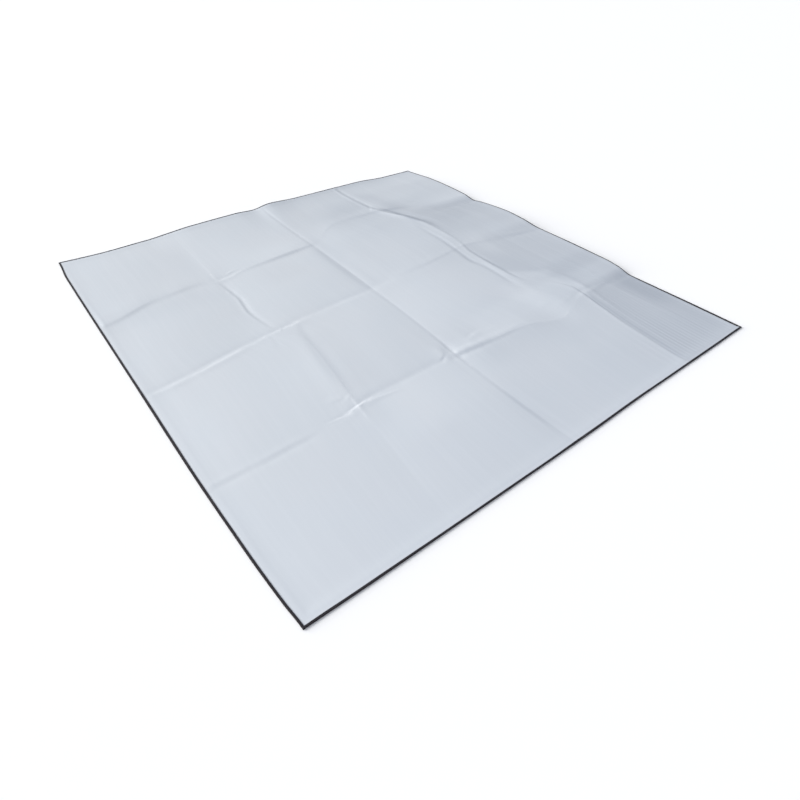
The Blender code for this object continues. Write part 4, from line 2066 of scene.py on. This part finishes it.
@dataclass(frozen=True)
class StitchRow:
    """The lockstitch that holds one edge tape: a stitch on its face over each one below.

    Attributes:
        tape: The tape that it is sewn through.
        pitch: From one stitch to the next.
        length: Length of the thread that shows.
        thread: The thread's thickness.
        sides: Flats round a stitch.
        margin: How far from the mat's corners it stops.
        cuts: Rings of points along a stitch.
        taper: How much thinner its ends are, and how deep they dip, in thread thicknesses.
    """

    tape: EdgeTape
    pitch: float = 4.0 * MM
    length: float = 3.1 * MM
    thread: float = 0.55 * MM
    sides: int = 6
    margin: float = 9.0 * MM
    cuts: int = 3
    taper: float = 0.45

    def stitch(self) -> bpy.types.Mesh:
        """Make one stitch along X: a short rod whose ends taper into the needle holes.

        Returns:
            Its mesh.
        """
        mesh = bmesh.new()
        bmesh.ops.create_cone(
            mesh, cap_ends=True, segments=self.sides, radius1=self.thread / 2.0,
            radius2=self.thread / 2.0, depth=self.length,
            matrix=Matrix.Rotation(math.pi / 2.0, 4, "Y"),
        )
        middle = [edge for edge in mesh.edges if abs(edge.verts[0].co.x - edge.verts[1].co.x) > WELD]
        bmesh.ops.subdivide_edges(mesh, edges=middle, cuts=self.cuts)
        for corner in mesh.verts:
            part = abs(corner.co.x) / (self.length / 2.0)
            slim = 1.0 - self.taper * part**3
            corner.co.y *= slim
            corner.co.z = corner.co.z * slim - self.thread * self.taper * part**3
        data = bpy.data.meshes.new("stitch")
        mesh.to_mesh(data)
        mesh.free()
        return data

    def place(self, along: float, above: float) -> Vector:
        """Find a place on the row.

        Args:
            along: Distance along the edge.
            above: Height over the sheet's underside.

        Returns:
            The place.
        """
        shape = self.tape.shape
        flat = self.tape.side.flat(along, self.tape.row_inset, shape.side)
        return shape.point(shape.spot(*flat), above)

    def build(self, thread: bpy.types.Material) -> bpy.types.Object:
        """Build the row.

        Args:
            thread: Its finish.

        Returns:
            All its stitches, as one piece.
        """
        shape = self.tape.shape
        pattern = self.stitch()
        mesh = bmesh.new()
        usable = shape.side - 2.0 * self.margin
        count = int(usable / self.pitch)
        face_up = shape.sheet_thickness + shape.edge_lift - self.tape.row_dip
        face_down = -shape.edge_lift + self.tape.row_dip
        for number in range(count):
            along = self.margin + (number + 0.5) * usable / count
            ahead = along + self.pitch / 2.0
            for above, turn_over in ((face_up, 1.0), (face_down, -1.0)):
                here = self.place(along, above)
                forward = (self.place(ahead, above) - here).normalized()
                aside = Vector((0.0, 0.0, turn_over)).cross(forward).normalized()
                up = forward.cross(aside)
                basis = Matrix((forward, aside, up)).transposed().to_4x4()
                placed = pattern.copy()
                placed.transform(Matrix.Translation(here) @ basis)
                mesh.from_mesh(placed)
                bpy.data.meshes.remove(placed)
        bpy.data.meshes.remove(pattern)
        bmesh.ops.recalc_face_normals(mesh, faces=mesh.faces)
        return finish_mesh(f"stitches_{self.tape.side.value}", mesh, (thread,))


@dataclass(frozen=True)
class FoilMat:
    """The whole mat, each piece on the body it rides with and in place of its plain solid.

    Attributes:
        shape: How it lies.
    """

    shape: MatShape = field(default_factory=MatShape)

    def sheet(self) -> bpy.types.Object:
        """Returns:
            The sheet.
        """
        sheet = FoilSheet(self.shape, Relief(self.shape, FoilFace(self.shape)))
        piece = sheet.build(FoilFinish().make(), FoamFinish().make())
        cut = self.shape.side - 2.0 * self.shape.edge_lift
        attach(piece, BODY)
        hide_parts("mat_sheet")
        return piece

    def edge(
        self, side: Side, sheet: bpy.types.Object, tape: bpy.types.Material, thread: bpy.types.Material
    ) -> list[bpy.types.Object]:
        """Args:
            side: The edge.
            sheet: The sheet that it is sewn to; not used.
            tape: The tape's finish.
            thread: The stitches' finish.

        Returns:
            The tape and the row of stitches.
        """
        maker = EdgeTape(self.shape, side, curves_of(TAPE_LAPS[side])["width"])
        piece = maker.build(tape)
        row = StitchRow(maker).build(thread)
        wrap = self.shape.sheet_thickness + 2.0 * self.shape.edge_lift
        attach(piece, BODY)
        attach(row, BODY)
        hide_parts(f"tape_{side.value}")
        2.0 * maker.width + wrap
        return [piece, row]

    def build(self) -> list[bpy.types.Object]:
        """Build every piece of the mat.

        Returns:
            The pieces, in order.
        """
        sheet = self.sheet()
        tape, thread = TapeFinish().make(), ThreadFinish().make()
        built = [sheet]
        for side in Side:
            built += self.edge(side, sheet, tape, thread)
        return built


# ---------------------------------------------------------------------------------------------
# Floor, light and camera
# ---------------------------------------------------------------------------------------------


@dataclass(frozen=True)
class Standpoint:
    """A camera held by someone standing just off the mat's near left corner.

    Attributes:
        eye: Where the camera is.
        azimuth: Which way it looks, turned from +Y about +Z, in degrees.
        elevation: How far it looks down, in degrees.
        lean: How far it is turned about its own view, in degrees.
        lens: Focal length in millimetres, on the default sensor.
        shift: How far the frame is moved across the lens's view, as a share of its width.
        farthest: The farthest that it sees.
    """

    eye: Triple = (-1.2208, -1.4859, 1.1873)
    azimuth: float = -37.67
    elevation: float = 42.88
    lean: float = 1.486
    lens: float = 24.11
    shift: float = 0.0476
    farthest: float = 100.0

    def place(self) -> bpy.types.Object:
        """Make the camera and look through it.

        Returns:
            The camera.
        """
        data = bpy.data.cameras.new("camera")
        data.lens = self.lens
        data.shift_x = self.shift
        data.clip_end = self.farthest
        camera = bpy.data.objects.new("camera", data)
        turn = Matrix.Rotation(math.radians(self.azimuth), 4, "Z")
        tilt = Matrix.Rotation(math.radians(90.0 - self.elevation), 4, "X")
        lean = Matrix.Rotation(math.radians(self.lean), 4, "Z")
        camera.matrix_world = Matrix.Translation(self.eye) @ turn @ tilt @ lean
        bpy.context.scene.collection.objects.link(camera)
        bpy.context.scene.camera = camera
        return camera


@dataclass(frozen=True)
class FarLamp:
    """A broad lamp so far off that its light is as strong all over the floor.

    Attributes:
        name: The lamp's name.
        place: The way to it from the mat.
        spread: How wide it looks from the mat, in degrees.
        strength: Its light, in watts to the square metre.
        colour: Its colour.
    """

    name: str
    place: Triple
    spread: float
    strength: float
    colour: Triple = (1.0, 1.0, 1.0)

    def hang(self) -> bpy.types.Object:
        """Make the lamp.

        Returns:
            The lamp.
        """
        data = bpy.data.lights.new(self.name, "SUN")
        data.angle = math.radians(self.spread)
        data.energy = self.strength
        data.color = self.colour
        lamp = bpy.data.objects.new(self.name, data)
        lamp.location = self.place
        lamp.rotation_euler = Vector(self.place).to_track_quat("Z", "Y").to_euler()
        bpy.context.scene.collection.objects.link(lamp)
        return lamp


@dataclass(frozen=True)
class Studio:
    """A plain white studio: a wide floor, an even bright surround and a raking lamp.

    Attributes:
        floor_size: Length of the floor's sides.
        floor_colour: The floor.
        floor_roughness: How matt it is.
        white: Light of most of the surround.
        blue: Light of its blue part.
        blue_side: The way to the blue part.
        blue_span: How nearly that way the blue starts and is whole.
        bright_side: The way to the brightest part.
        bright_span: How nearly that way the light is weakest and strongest.
        low: Its strength at the weakest.
        high: And at the strongest.
        lamps: The lamps.
    """

    FLOOR_NAME = "studio_floor"

    floor_size: float = 60.0
    floor_colour: Colour = (0.92, 0.92, 0.92, 1.0)
    floor_roughness: float = 0.95
    white: Colour = (1.0, 0.985, 0.955, 1.0)
    blue: Colour = (0.74, 0.82, 1.0, 1.0)
    blue_side: Triple = (0.62, -0.38, 0.68)
    blue_span: Ramp = Ramp(0.2, 0.95)
    bright_side: Triple = (-0.79, 0.61, 0.0)
    bright_span: Ramp = Ramp(-0.9, 0.9)
    low: float = 0.50
    high: float = 0.75
    lamps: tuple[FarLamp, ...] = (FarLamp("key", (-7.1, 7.1, 3.1), 44.0, 5.5),)

    def towards(self, graph: Graph, way: Signal, side: Triple) -> Signal:
        """How nearly a direction points to one side, up to 1."""
        made = graph.node("ShaderNodeVectorMath", {"operation": "DOT_PRODUCT"}, {0: way, 1: side})
        return graph.signal(made, "Value")

    def surround(self) -> None:
        """Light the world: brighter on one side, and a little blue overhead and on the other."""
        world = bpy.data.worlds.new("surround")
        world.use_nodes = True
        bpy.context.scene.world = world
        graph = Graph(world.node_tree)
        way = graph.signal(graph.node("ShaderNodeTexCoord"), "Generated")
        bright = self.towards(graph, way, self.bright_side)
        strength = graph.ramp(bright, self.bright_span, self.low, self.high)
        blueness = graph.ramp(self.towards(graph, way, self.blue_side), self.blue_span)
        colour = graph.blend(blueness, self.white, self.blue)
        back = graph.node("ShaderNodeBackground", {}, {"Color": colour, "Strength": strength})
        graph.node("ShaderNodeOutputWorld", {}, {"Surface": graph.signal(back)})

    def floor(self) -> bpy.types.Object:
        """Lay the floor.

        Returns:
            The floor.
        """
        mesh = bmesh.new()
        bmesh.ops.create_grid(mesh, x_segments=1, y_segments=1, size=self.floor_size / 2.0)
        material, graph = new_material("studio_floor")
        close_surface(graph, {"Base Color": self.floor_colour, "Roughness": self.floor_roughness})
        made = finish_mesh(self.FLOOR_NAME, mesh, (material,))
        return made

    def build(self) -> None:
        """Set the studio up, in plain display colours."""
        bpy.context.scene.view_settings.view_transform = "Standard"
        self.surround()
        self.floor()
        for lamp in self.lamps:
            lamp.hang()


def main() -> None:
    """Build the studio and the mat, and report each piece."""
    logging.basicConfig(level=logging.INFO, format="%(name)s: %(message)s")
    Standpoint().place()
    Studio().build()
    for piece in FoilMat().build():
        LOG.info("%s has %d faces", piece.name, len(piece.data.polygons))


if __name__ == "__main__":
    main()
